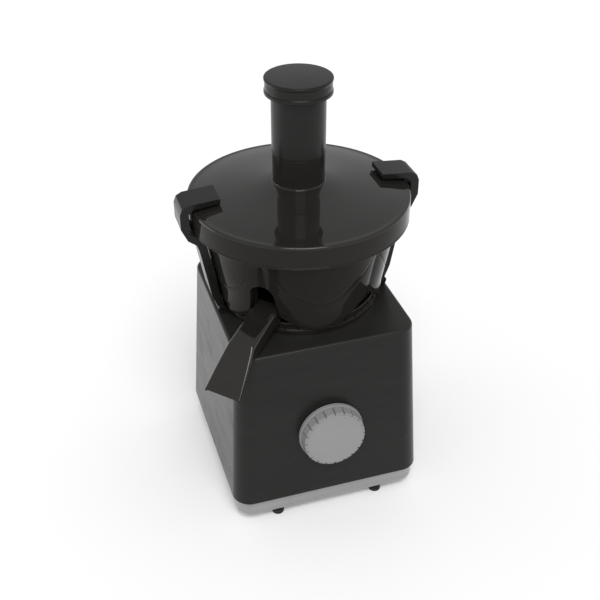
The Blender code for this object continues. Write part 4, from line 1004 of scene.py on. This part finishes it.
def bowl_mesh(sizes):
    steps = 360
    floor = BOWL_BOTTOM + 2.5 * MM
    foot = BOWL_BOTTOM + FOOT_CORNER
    outer = sizes.inner_radius
    wall = outer - 2.2 * MM
    lip = BOWL_FLANGE + 2.5 * MM
    rim_inside = RIM_RADIUS - 2.5 * MM
    shoulder = BOWL_FLANGE - 14 * MM
    hub, hub_outside, hub_top = 11 * MM, 13.5 * MM, BOWL_BOTTOM + 19 * MM
    under = softened([(hub, BOWL_BOTTOM), (outer, BOWL_BOTTOM, FOOT_CORNER), (outer, foot)], 6)
    rim = softened([
        (RIM_RADIUS, BOWL_FLANGE), (FLANGE_RADIUS, BOWL_FLANGE, 0.6 * MM), (FLANGE_RADIUS, lip, 0.6 * MM),
        (RIM_RADIUS, lip, 0.5 * MM), (RIM_RADIUS, BOWL_RIM, 0.8 * MM), (rim_inside, BOWL_RIM, 0.8 * MM),
        (rim_inside, BOWL_FLANGE)], 3)
    inner = softened([
        (rim_inside, BOWL_FLANGE), (bowl_radius(shoulder) - 4 * MM, shoulder, 8 * MM),
        (wall, BOWL_BOTTOM + 50 * MM, 12 * MM), (wall, foot)], 6)[1:-1]
    inner += softened([
        (wall, foot), (wall, floor, FOOT_CORNER - 2 * MM), (hub_outside, floor, 2 * MM),
        (hub_outside, hub_top, 0.8 * MM), (hub, hub_top, 0.8 * MM), (hub, BOWL_BOTTOM)], 4)[1:-1]
    shape = bmesh.new()
    columns = []
    for i in range(steps):
        x, y = math.cos(TURN * i / steps), math.sin(TURN * i / steps)
        profile = under[:-1] + bowl_column(TURN * i / steps, sizes) + rim[1:] + inner
        columns.append([shape.verts.new((r * x, r * y, z)) for r, z in profile])
    lofted(shape, columns + columns[:1])
    half = sizes.outlet_width / 2
    arch = [(-half, 0), (half, 0)]
    arch_steps = 16
    for i in range(arch_steps + 1):
        bearing = math.pi * i / arch_steps
        arch.append((half * math.cos(bearing), sizes.outlet_height - half + half * math.sin(bearing)))
    stand = Matrix(((0, 0, 1, 0), (1, 0, 0, 0), (0, 1, 0, 0), (0, 0, 0, 1)))
    place = spout_frame(sizes) @ Matrix.Translation((80 * MM, 0, floor + 0.3 * MM)) @ stand
    return cut(to_mesh(shape, BOWL_AXIS), flat_body(arch, 50 * MM, place))


class JUICER_OT_bowl(Maker, bpy.types.Operator):
    """Makes the juice bowl with its lobed skirt"""
    bl_idname = "juicer.bowl"
    bl_label = "Juice bowl"

    def make(self, sizes):
        piece("juice_bowl", bowl_mesh(sizes), smoky_plastic, "base", "bowl", crease=50)


# ---------------------------------------------------------------- spout

def spout_frame(sizes):
    """Along the spout: X outwards, Y across, Z up, from the bowl's axis."""
    across = Vector((-math.sin(sizes.spout_angle), math.cos(sizes.spout_angle), 0)) * sizes.spout_offset
    return BOWL_AXIS @ Matrix.Translation(across) @ Matrix.Rotation(sizes.spout_angle, 4, "Z")


def spout_stations(sizes):
    """Along the spout: distance out, height of roof, height of lower edge, half width."""
    end = HALF_WIDTH - sizes.draft + 37.5 * MM
    base = DECK + 1.6 * MM
    roof = base + 27 * MM
    start = bowl_radius(BOWL_BOTTOM) - 9 * MM
    return [(start, roof + 3.4 * MM, BOWL_BOTTOM, 13 * MM),
            (end - 40 * MM, roof + 0.4 * MM, BOWL_BOTTOM, 13 * MM),
            (end - 9 * MM, roof - 10.5 * MM, base, 13 * MM),
            (end - 3.5 * MM, roof - 13.5 * MM, base, 13.5 * MM),
            (end + 1 * MM, roof - 18 * MM, base - 1 * MM, 14.3 * MM),
            (end + 16 * MM, roof - 32.5 * MM, base - 11.5 * MM, 16.6 * MM),
            (end + 32 * MM, roof - 48.5 * MM, base - 23 * MM, 18.6 * MM)]


def eased(stations, steps=4):
    """Stations with smooth ones between them."""
    points = [Vector(station) for station in stations]
    points = points[:1] + points + points[-1:]
    result = []
    for before, here, there, beyond in zip(points, points[1:], points[2:], points[3:]):
        for k in range(steps):
            t = k / steps
            weight = soft_step(t)
            result.append(here * (1 - weight) + there * weight
                          + (there - before) * 0.25 * (t - 2 * t * t + t ** 3)
                          + (beyond - here) * 0.25 * (t ** 3 - t * t))
    return result + points[-1:]


def spout_mesh(sizes):
    """A roofed chute with round shoulders, closed below over the deck and open below beyond it."""
    crown = 1.2 * MM
    last_closed = 12
    shape = bmesh.new()
    rows = []
    for out, roof, base, half in eased(spout_stations(sizes)):
        edge = min(4.5 * MM, (roof - base) * 0.3)
        row = []
        for y, z in softened([(half, base), (half, roof, edge), (-half, roof, edge), (-half, base)]):
            lift = crown * (1 - (y / half) ** 2) if z > roof - edge else 0
            row.append(shape.verts.new((out, y, z + lift - crown * 0.6)))
        rows.append(row)
    for number, (first, second) in enumerate(zip(rows, rows[1:])):
        for i in range(len(first) - 1):
            shape.faces.new((first[i], first[i + 1], second[i + 1], second[i]))
        if number < last_closed:
            shape.faces.new((first[-1], first[0], second[0], second[-1]))
    top = max(shape.faces, key=lambda face: face.calc_center_median().z)
    mesh = modified(outward(shape, top, True), wall_inside(sizes.spout_wall), soft_edges(0.35 * MM, 60))
    mesh.transform(spout_frame(sizes))
    return mesh


class JUICER_OT_spout(Maker, bpy.types.Operator):
    """Makes the juice spout"""
    bl_idname = "juicer.spout"
    bl_label = "Juice spout"

    def make(self, sizes):
        piece("spout_chute", spout_mesh(sizes), bright_smoky, "base", "juice_spout")


# ---------------------------------------------------------------- lid, tube and pusher

def lid_mesh(sizes):
    """A shallow cone with a bead at its rim, a skirt with a lip, and the neck and chute in the middle."""
    wall = 2.5 * MM
    edge = LID_RADIUS - 3 * MM
    skirt = LID_TOP - sizes.lid_skirt
    inner = LID_RADIUS - wall
    joint = NECK_TOP - 1 * MM
    crown = LID_TOP + sizes.lid_rise
    top = []
    steps = 12
    for i in range(steps + 1):
        share = i / steps
        lift = 1 - share
        sag = 0.3 * lift * (lift - 1) * (2 * lift - 1)
        top.append((NECK_RADIUS + 3 * MM + (edge - 6 * MM - NECK_RADIUS) * share,
                    LID_TOP + sizes.lid_rise * (lift + sag)))
    fillet = softened([(NECK_RADIUS, joint), (NECK_RADIUS, crown, 2.5 * MM), top[0]])
    outer = softened([
        (edge - 2 * MM, LID_TOP), (LID_RADIUS, LID_TOP, 2.6 * MM), (LID_RADIUS, skirt + 2.4 * MM, 0.3 * MM),
        (LID_RADIUS - 0.5 * MM, skirt + 2 * MM, 0.3 * MM), (LID_RADIUS, skirt + 1.6 * MM, 0.3 * MM),
        (LID_RADIUS, skirt, 0.5 * MM), (inner, skirt, 0.5 * MM), (inner, LID_TOP - 3 * MM, 1 * MM),
        (edge - 4 * MM, LID_TOP - wall)])
    under = [(r, z - wall) for r, z in reversed(top)]
    profile = softened([(TUBE_BORE, CHUTE_BOTTOM), (TUBE_BORE, NECK_TOP, 0.6 * MM),
                        (NECK_RADIUS, NECK_TOP, 0.5 * MM), (NECK_RADIUS, joint)], 3)
    profile += fillet[1:] + top[1:] + outer + under
    profile += [(NECK_RADIUS, crown - wall), (NECK_RADIUS, CHUTE_BOTTOM)]
    return turned(profile, 180)


class JUICER_OT_lid(Maker, bpy.types.Operator):
    """Makes the lid, its seal and the upper feed tube"""
    bl_idname = "juicer.lid"
    bl_label = "Lid and feed tube"

    def make(self, sizes):
        piece("lid_cover", lid_mesh(sizes), lid_gloss, "base", "lid")
        wide, bottom, top = span("lid_seal")
        inner = wide - 2.4 * MM
        ring = turned([(wide, bottom, 0.4 * MM), (wide, top, 0.8 * MM), (inner, top, 0.8 * MM),
                       (inner, bottom, 0.4 * MM)], 144, 3)
        piece("seal_ring", ring, rubber, "base", "lid_seal")
        wide, bottom, top = span("feed_tube")
        tube = turned([(wide, bottom, 0.4 * MM), (wide, top, 0.8 * MM), (TUBE_BORE, top, 0.8 * MM),
                       (TUBE_BORE, bottom, 0.3 * MM)], 128, 3)
        piece("upper_tube", tube, black_plastic, "base", "feed_tube", crease=60)


class JUICER_OT_pusher(Maker, bpy.types.Operator):
    """Makes the pusher: its cap with two lips and its hollow plunger"""
    bl_idname = "juicer.pusher"
    bl_label = "Pusher"

    def make(self, sizes):
        thin, low_end, high_end = span("pusher_plunger")
        wide, bottom, top = span("pusher_cap")
        lip, step = 3.2 * MM, 0.8 * MM
        waist = wide - step
        bore = TUBE_RADIUS + 0.6 * MM
        inside = high_end + 0.3 * MM
        shoulder = top - 0.7 * MM
        steps = 8
        dome = [(wide * i / steps, top - (top - shoulder) * (i / steps) ** 2) for i in range(steps)]
        cap = turned(dome + [
            (wide, shoulder, 1.8 * MM), (wide, top - lip, 0.7 * MM), (waist, top - lip - step, 0.8 * MM),
            (waist, bottom + lip + step, 0.8 * MM), (wide, bottom + lip, 0.7 * MM), (wide, bottom, 0.9 * MM),
            (bore, bottom, 0.6 * MM), (bore, inside), (0, inside)], 144)
        piece("pusher_handle", cap, black_plastic, "pusher", "pusher_cap")
        wall, depth, groove = 2 * MM, 0.4 * MM, low_end + 6 * MM
        plunger = turned([
            (0, low_end), (thin, low_end, 2 * MM), (thin, groove), (thin - depth, groove + depth),
            (thin - depth, groove + 1.6 * MM), (thin, groove + 2 * MM), (thin, high_end, 0.4 * MM),
            (thin - wall, high_end), (thin - wall, low_end + wall, 1 * MM), (0, low_end + wall)], 96, 4)
        piece("plunger_body", plunger, black_plastic, "pusher", "pusher_plunger")


# ---------------------------------------------------------------- lock arms and knob

class JUICER_OT_arms(Maker, bpy.types.Operator):
    """Makes both lock arms with their pads, brackets and pins"""
    bl_idname = "juicer.arms"
    bl_label = "Lock arms"

    def make(self, sizes):
        for side in ("left", "right"):
            body = "arm_" + side
            kept("strap_" + side, "lock_arm_" + side, black_plastic, body, 1.1 * MM, 30)
            kept("hook_pad_" + side, "arm_pad_" + side, rubber, body, 0.2 * MM)
            kept("ears_" + side, "arm_bracket_" + side, black_plastic, "base", 0.25 * MM)
            pin = "arm_pin_" + side
            first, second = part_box(pin)
            radius, half = (second.x - first.x) / 2, (second.y - first.y) / 2
            place = Matrix.Translation((first + second) / 2) @ Matrix.Rotation(math.pi / 2, 4, "X")
            rod = turned([(0, -half), (radius, -half, 0.5 * MM), (radius, half, 0.5 * MM), (0, half)],
                         32, 3, place)
            piece("pin_" + side, rod, black_steel, "base", pin)


def knob_mesh(sizes):
    """The knob's cup: a flat face, a sloping rim for the grips, a smooth flange, a hollow back, a hub."""
    flange = span("speed_knob")[0]
    body = flange - 2 * MM
    back = 0.6 * MM
    face = 15.6 * MM
    dish = face - 0.3 * MM
    step = back + 4 * MM
    hub, bore = 7.3 * MM, 3.3 * MM
    inner = face - 2.5 * MM
    cup = turned([
        (0, dish), (body - 4.4 * MM, dish, 0.4 * MM), (body - 4 * MM, face, 0.4 * MM),
        (body - 2.6 * MM, face, 1 * MM), (body - 1 * MM, step + 0.8 * MM, 0.3 * MM),
        (flange - 0.4 * MM, step, 0.8 * MM), (flange, back, 0.6 * MM), (body - 3.5 * MM, back, 0.4 * MM),
        (body - 5 * MM, inner, 1 * MM), (hub, inner, 0.8 * MM), (hub, back, 0.5 * MM), (bore, back),
        (bore, inner - 2 * MM), (0, inner - 2 * MM)], 160, 4, FRONT)
    pitch = TURN / sizes.knob_notches
    grip = grip_mesh(pitch * body - sizes.notch_width, face - step, 1.5 * MM)
    grips = around(grip, knob_plastic, sizes.knob_notches, body - 2.2 * MM, (face + step) / 2, FRONT,
                   TURN / 4 + pitch / 2)
    return joined(cup, grips)


def grip_mesh(width, tall, proud):
    """One pad of the knob's rim, leaning in towards the face, with soft edges."""
    shape = bmesh.new()
    bmesh.ops.create_cube(shape, size=1)
    bmesh.ops.scale(shape, vec=(3 * MM, width, tall - 1.8 * MM), verts=shape.verts)
    for vert in shape.verts:
        if vert.co.z > 0:
            vert.co.x -= 1.3 * MM
            vert.co.y *= 0.93
    front = [e for e in shape.edges
             if max(v.co.x for v in e.verts) > 0 or abs(e.verts[0].co.y - e.verts[1].co.y) < MM]
    bmesh.ops.bevel(shape, geom=front, offset=0.55 * MM, segments=3, profile=0.5, affect="EDGES")
    bmesh.ops.translate(shape, vec=(proud, 0, 0), verts=shape.verts)
    return to_mesh(shape)


class JUICER_OT_knob(Maker, bpy.types.Operator):
    """Makes the speed knob, its spindle and the rotary switch"""
    bl_idname = "juicer.knob"
    bl_label = "Speed knob"

    def make(self, sizes):
        piece("knob_cup", knob_mesh(sizes), knob_plastic, "knob", "speed_knob", crease=45)
        kept("spindle", "switch_spindle", steel, "knob", 0.4 * MM)
        kept("switch_body", "rotary_switch", white_plastic, "base", 0.6 * MM)


# ---------------------------------------------------------------- motor and drive

def coil_mesh(reach, tall, thick):
    """One loop of wire of a winding, standing on its edge."""
    corner = min(reach, tall) * 0.8
    shape = bmesh.new()
    loops = []
    for x, z in softened([(x * reach, z * tall, corner) for x, z in ((-1, -1), (1, -1), (1, 1), (-1, 1))], 3):
        out = Vector((x, 0, z)).normalized() * thick
        across = Vector((0, thick, 0))
        loops.append([shape.verts.new(Vector((x, 0, z)) + shift) for shift in (out, across, -out, -across)])
    lofted(shape, loops + loops[:1])
    return to_mesh(shape)


class JUICER_OT_motor(Maker, bpy.types.Operator):
    """Makes the motor: stator, windings, armature, commutator, bearings, brackets, brushes and fan"""
    bl_idname = "juicer.motor"
    bl_label = "Motor"

    def make(self, sizes):
        radius, bottom, top = span("motor_stator")
        overhang, bore = 10 * MM, 26 * MM
        ends = bottom + overhang, top - overhang
        self.stator(radius, bore, ends)
        wide, gap = radius - 5 * MM, 3 * MM
        middle = (bore + gap + wide) / 2
        reach = (wide - bore - gap) / 2 - 0.8 * MM
        for name, low_end, high_end in (("lower", bottom, ends[0]), ("upper", ends[1], top)):
            core = tube_ring(middle - reach * 0.7, middle + reach * 0.7, low_end + 1.2 * MM,
                             high_end - 0.2 * MM, 1.5 * MM)
            coil = coil_mesh(reach, (high_end - low_end) / 2 - 0.6 * MM, 0.9 * MM)
            wires = around(coil, copper, 2 * sizes.coils, middle, (low_end + high_end) / 2)
            piece("windings_" + name, joined(core, wires), copper, "base")
        self.armature(ends[0] + 0.5 * MM, ends[1] - 0.5 * MM)
        self.commutator(sizes.bars)
        self.bearings()
        for side in ("left", "right"):
            kept("brush_" + side, "brush_holder_" + side, copper, "base", 0.6 * MM)
        wide, bottom, top = span("motor_shaft")
        rod = turned([(0, bottom), (wide, bottom, 0.6 * MM), (wide, top, 0.6 * MM), (0, top)], 32, 3)
        piece("shaft", rod, steel, "rotor", "motor_shaft")
        self.fan()
        kept("motor_frame", "chassis", laminations, "base", 0.4 * MM)

    def stator(self, radius, bore, ends):
        stack = tube_ring(bore, radius, *ends, 0.4 * MM)
        rib = block((2 * MM, 5 * MM, ends[1] - ends[0] - 1 * MM), 0.4 * MM)
        ribs = around(rib, laminations, 12, bore + 0.6 * MM, sum(ends) / 2)
        piece("stator_stack", joined(stack, ribs), laminations, "base", "motor_stator")

    def armature(self, stack_low, stack_high):
        radius, bottom, top = span("rotor_core")
        hub, core = radius - 7 * MM, radius - 3 * MM
        spine = turned([(SHAFT_BORE, bottom), (hub, bottom, 1.5 * MM), (hub, stack_low), (core, stack_low),
                        (core, stack_high), (hub, stack_high), (hub, top, 1.5 * MM), (SHAFT_BORE, top)], 48)
        tooth = block((3.4 * MM, 8.4 * MM, stack_high - stack_low), 0.4 * MM)
        teeth = around(tooth, laminations, 14, radius - 1.9 * MM, (stack_low + stack_high) / 2)
        piece("armature", joined(spine, teeth), laminations, "rotor", "rotor_core")

    def commutator(self, number):
        radius, bottom, top = span("commutator")
        barrel = tube_ring(SHAFT_BORE, radius - 1 * MM, bottom, top, 0.4 * MM, 48)
        bar = block((1.4 * MM, TURN * radius / number - 0.6 * MM, top - bottom - 1 * MM), 0.2 * MM)
        bars = around(bar, copper, number, radius - 0.8 * MM, (bottom + top) / 2)
        piece("commutator_bars", joined(barrel, bars), copper, "rotor", "commutator")

    def bearings(self):
        for name in ("upper", "lower"):
            node = name + "_bearing"
            race, bottom, top = span(node)
            rings = [tube_ring(SHAFT_BORE, 6.2 * MM, bottom, top, 0.3 * MM),
                     tube_ring(race - 2 * MM, race, bottom, top, 0.3 * MM),
                     tube_ring(6.1 * MM, race - 1.9 * MM, bottom + 0.8 * MM, top - 0.8 * MM, 0.2 * MM)]
            piece(name + "_race", joined(*rings), steel, "base", node)
            kept(name + "_bell", "motor_%s_bracket" % name, steel, "base", 0.4 * MM)

    def fan(self):
        wide, bottom, top = span("cooling_fan")
        hub = 9 * MM
        disc = turned([(SHAFT_BORE, bottom), (wide, bottom, 0.5 * MM), (wide, bottom + 1.6 * MM, 0.5 * MM),
                       (hub, bottom + 2 * MM, 1 * MM), (hub, top, 0.6 * MM), (SHAFT_BORE, top)], 72, 3)
        chord, camber, thick, steps = 24 * MM, 3 * MM, 1.5 * MM, 8
        shares = [i / steps for i in range(steps + 1)]
        blade = [(chord * (share - 0.5), camber * math.sin(math.pi * share)) for share in shares]
        tall = top - bottom - 2 * MM
        vane = flat_body(blade + [(x, y - thick) for x, y in reversed(blade)], tall)
        vanes = around(vane, black_plastic, 8, 22 * MM, bottom + 1.5 * MM + tall / 2)
        piece("fan_wheel", joined(disc, vanes), black_plastic, "rotor", "cooling_fan")


def hole_cell(width, tall, thick):
    """A small plate with a round hole, one cell of a perforated wall."""
    shape = bmesh.new()
    sides = []
    number = 8
    hole = min(width, tall) * 0.27
    for depth in (-thick / 2, thick / 2):
        outside = []
        inside = []
        for i in range(number):
            bearing = TURN * (i + 0.5) / number
            y, z = math.cos(bearing), math.sin(bearing)
            reach = max(abs(y), abs(z))
            outside.append(shape.verts.new((depth, y / reach * width / 2, z / reach * tall / 2)))
            inside.append(shape.verts.new((depth, y * hole, z * hole)))
        bridged(shape, outside, inside)
        sides.append(inside)
    lofted(shape, sides)
    return to_mesh(shape)


class JUICER_OT_basket(Maker, bpy.types.Operator):
    """Makes the filter basket, the grating disc, the nut and the drive coupling"""
    bl_idname = "juicer.basket"
    bl_label = "Basket and drive"

    def make(self, sizes):
        self.basket(sizes)
        self.disc(sizes)
        self.nut()
        kept("coupling", "drive_coupling", black_plastic, "rotor", 0.5 * MM)

    def basket(self, sizes):
        lip_radius, floor, rim = span("filter_basket")
        wall, foot = 1.2 * MM, 51 * MM
        top_radius = lip_radius - 2 * MM
        shoulder = rim - 4 * MM
        ends = floor + 5 * MM, rim - 6 * MM

        def outside(height):
            return foot + (top_radius - foot) * (height - floor) / (shoulder - floor)

        low_radius, high_radius = outside(ends[0]), outside(ends[1])
        lean = math.atan2(high_radius - low_radius, ends[1] - ends[0])
        tall = (ends[1] - ends[0]) / sizes.basket_rows
        heights = ends[0] + tall / 2, ends[1] - tall / 2
        radii = [outside(height) - wall / 2 for height in heights]
        overlap = 1.02
        cell = hole_cell(TURN * radii[0] / sizes.basket_columns * overlap, tall / math.cos(lean) * overlap,
                         0.8 * MM)
        mesh = in_rows(cell, steel, sizes.basket_columns, sizes.basket_rows, radii, heights,
                       stagger=0.5, lean=lean, widen=1.0)
        dish = turned([(SHAFT_BORE, floor), (foot, floor, 2 * MM), (low_radius, ends[0]),
                       (low_radius - wall, ends[0]), (foot - wall, floor + wall, 2 * MM),
                       (SHAFT_BORE, floor + wall)], 96)
        lip = turned([(high_radius - wall, ends[1]), (high_radius, ends[1]),
                      (lip_radius - 0.3 * MM, shoulder, 0.8 * MM), (lip_radius, rim, 0.8 * MM),
                      (top_radius - wall, rim, 0.5 * MM)], 96)
        piece("basket_mesh", joined(mesh, dish, lip), steel, "rotor", "filter_basket")

    def disc(self, sizes):
        wide, bottom, top = span("grater_disc")
        plate = tube_ring(SHAFT_BORE, wide, bottom, top, 0.3 * MM, 96)
        shape = bmesh.new()
        bmesh.ops.create_cone(shape, cap_ends=True, segments=3, radius1=1.1 * MM, radius2=0.1 * MM,
                              depth=1.6 * MM)
        teeth = in_rows(to_mesh(shape), steel, sizes.teeth, sizes.tooth_rings, (13 * MM, wide - 3 * MM),
                        [top + 0.7 * MM] * 2, stagger=0.37, start=0.1)
        piece("grating_disc", joined(plate, teeth), steel, "rotor", "grater_disc")

    def nut(self):
        wide, bottom, top = span("basket_nut")
        side, socket = wide - 1 * MM, bottom + 4.3 * MM
        crown = turned([(0, top), (wide - 4 * MM, top - 1 * MM, 2 * MM), (side, top - 5 * MM, 1 * MM),
                        (side, bottom, 0.4 * MM), (SHAFT_BORE, bottom), (SHAFT_BORE, socket), (0, socket)],
                       64, 4)
        wing = block((2.4 * MM, 3 * MM, 6 * MM), 0.7 * MM)
        wings = around(wing, black_plastic, 6, wide - 1.2 * MM, bottom + 3.2 * MM)
        piece("nut_crown", joined(crown, wings), black_plastic, "rotor", "basket_nut")


class JUICER_OT_electrics(Maker, bpy.types.Operator):
    """Makes the cord gland, the control board, the safety switches and the shaft seal"""
    bl_idname = "juicer.electrics"
    bl_label = "Electrics and seals"

    def make(self, sizes):
        kept("gland_boot", "cord_gland", rubber, "base", 0.5 * MM, crease=50)
        kept("board_card", "control_board", board_green, "base", 0.3 * MM)
        for side in ("left", "right"):
            kept("safety_" + side, "interlock_switch_" + side, white_plastic, "base", 0.5 * MM)
        wide, bottom, top = span("shaft_seal")
        inner, step = 6 * MM, bottom + 2 * MM
        lips = turned([(SHAFT_BORE, bottom, 0.3 * MM), (wide, bottom, 0.4 * MM), (wide, top, 0.4 * MM),
                       (inner, top, 0.4 * MM), (inner, step, 0.6 * MM), (SHAFT_BORE, step, 0.3 * MM)], 48, 3)
        piece("seal_lips", lips, rubber, "base", "shaft_seal")


# ---------------------------------------------------------------- stage

def lamp(name, kind, power, direction, place=(0, 0, 0), **settings):
    """A light that shines against a direction."""
    data = bpy.data.lights.new(name, kind)
    data.energy = power
    for setting, value in settings.items():
        setattr(data, setting, value)
    obj = loose(name, data)
    obj.location = place
    obj.rotation_euler = facing(-direction)


def facing(direction):
    """Angles that point an object's -Z along a direction."""
    return direction.to_track_quat("-Z", "Y").to_euler()


class JUICER_OT_stage(Maker, bpy.types.Operator):
    """Makes the pale floor, the soft lights and the camera"""
    bl_idname = "juicer.stage"
    bl_label = "Stage"

    def make(self, sizes):
        floor_half, sky_strength, soft_angle, middle_height = 12, 0.62, math.radians(35), 0.2
        camera_place, aim, lens = (-0.2450, -0.7747, 0.7499), Vector((0, 0, 0.18848)), 57.74
        scene = bpy.context.scene
        shape = bmesh.new()
        bmesh.ops.create_grid(shape, x_segments=1, y_segments=1, size=floor_half)
        bmesh.ops.translate(shape, vec=(0, 0, CAD_BOX[0][2]), verts=shape.verts)
        mesh = to_mesh(shape, recalculated=False)
        mesh.materials.append(finish(floor_paint))
        loose("floor", mesh)
        world = bpy.data.worlds.new("studio")
        world.use_nodes = True
        sky = world.node_tree.nodes["Background"].inputs
        sky["Color"].default_value = (1, 1, 1, 1)
        sky["Strength"].default_value = sky_strength
        scene.world = world
        lamp("key", "SUN", 1.7, Vector((-0.1, -0.7, 1)), angle=soft_angle)
        place = Vector((-1.2, 0.5, 0.25))
        lamp("fill", "AREA", 1.5, place - Vector((0, 0, middle_height)), place, shape="SQUARE", size=0.5,
             color=(1, 0.97, 0.93))
        data = bpy.data.cameras.new("camera")
        data.lens = lens
        camera = loose("camera", data)
        camera.location = camera_place
        camera.rotation_euler = facing(aim - camera.location)
        scene.camera = camera
        scene.view_settings.view_transform = "Standard"


class JUICER_PT_pieces(bpy.types.Panel):
    """Lists the sizes, the colours and a button for every group of pieces"""
    bl_idname = "JUICER_PT_pieces"
    bl_label = "Centrifugal Juicer"
    bl_space_type = "VIEW_3D"
    bl_region_type = "UI"
    bl_category = "Juicer"

    def draw(self, context):
        for group in (context.scene.juicer_sizes, context.scene.juicer_colours):
            box = self.layout.box()
            for name in group.__annotations__:
                box.prop(group, name)
        for operator in OPERATORS:
            self.layout.operator(operator.bl_idname)


OPERATORS = (JUICER_OT_housing, JUICER_OT_fasteners, JUICER_OT_collar, JUICER_OT_bowl, JUICER_OT_spout,
             JUICER_OT_lid, JUICER_OT_pusher, JUICER_OT_arms, JUICER_OT_knob, JUICER_OT_motor,
             JUICER_OT_basket, JUICER_OT_electrics, JUICER_OT_stage)
CLASSES = (JuicerSizes, JuicerColours) + OPERATORS + (JUICER_PT_pieces,)


def register():
    for kind in CLASSES:
        bpy.utils.register_class(kind)
    bpy.types.Scene.juicer_sizes = PointerProperty(type=JuicerSizes)
    bpy.types.Scene.juicer_colours = PointerProperty(type=JuicerColours)


def unregister():
    del bpy.types.Scene.juicer_colours
    del bpy.types.Scene.juicer_sizes
    for kind in reversed(CLASSES):
        bpy.utils.unregister_class(kind)


def main():
    """Makes every piece."""
    register()
    for operator in OPERATORS:
        group, name = operator.bl_idname.split(".")
        getattr(getattr(bpy.ops, group), name)()


if __name__ == "__main__":
    main()
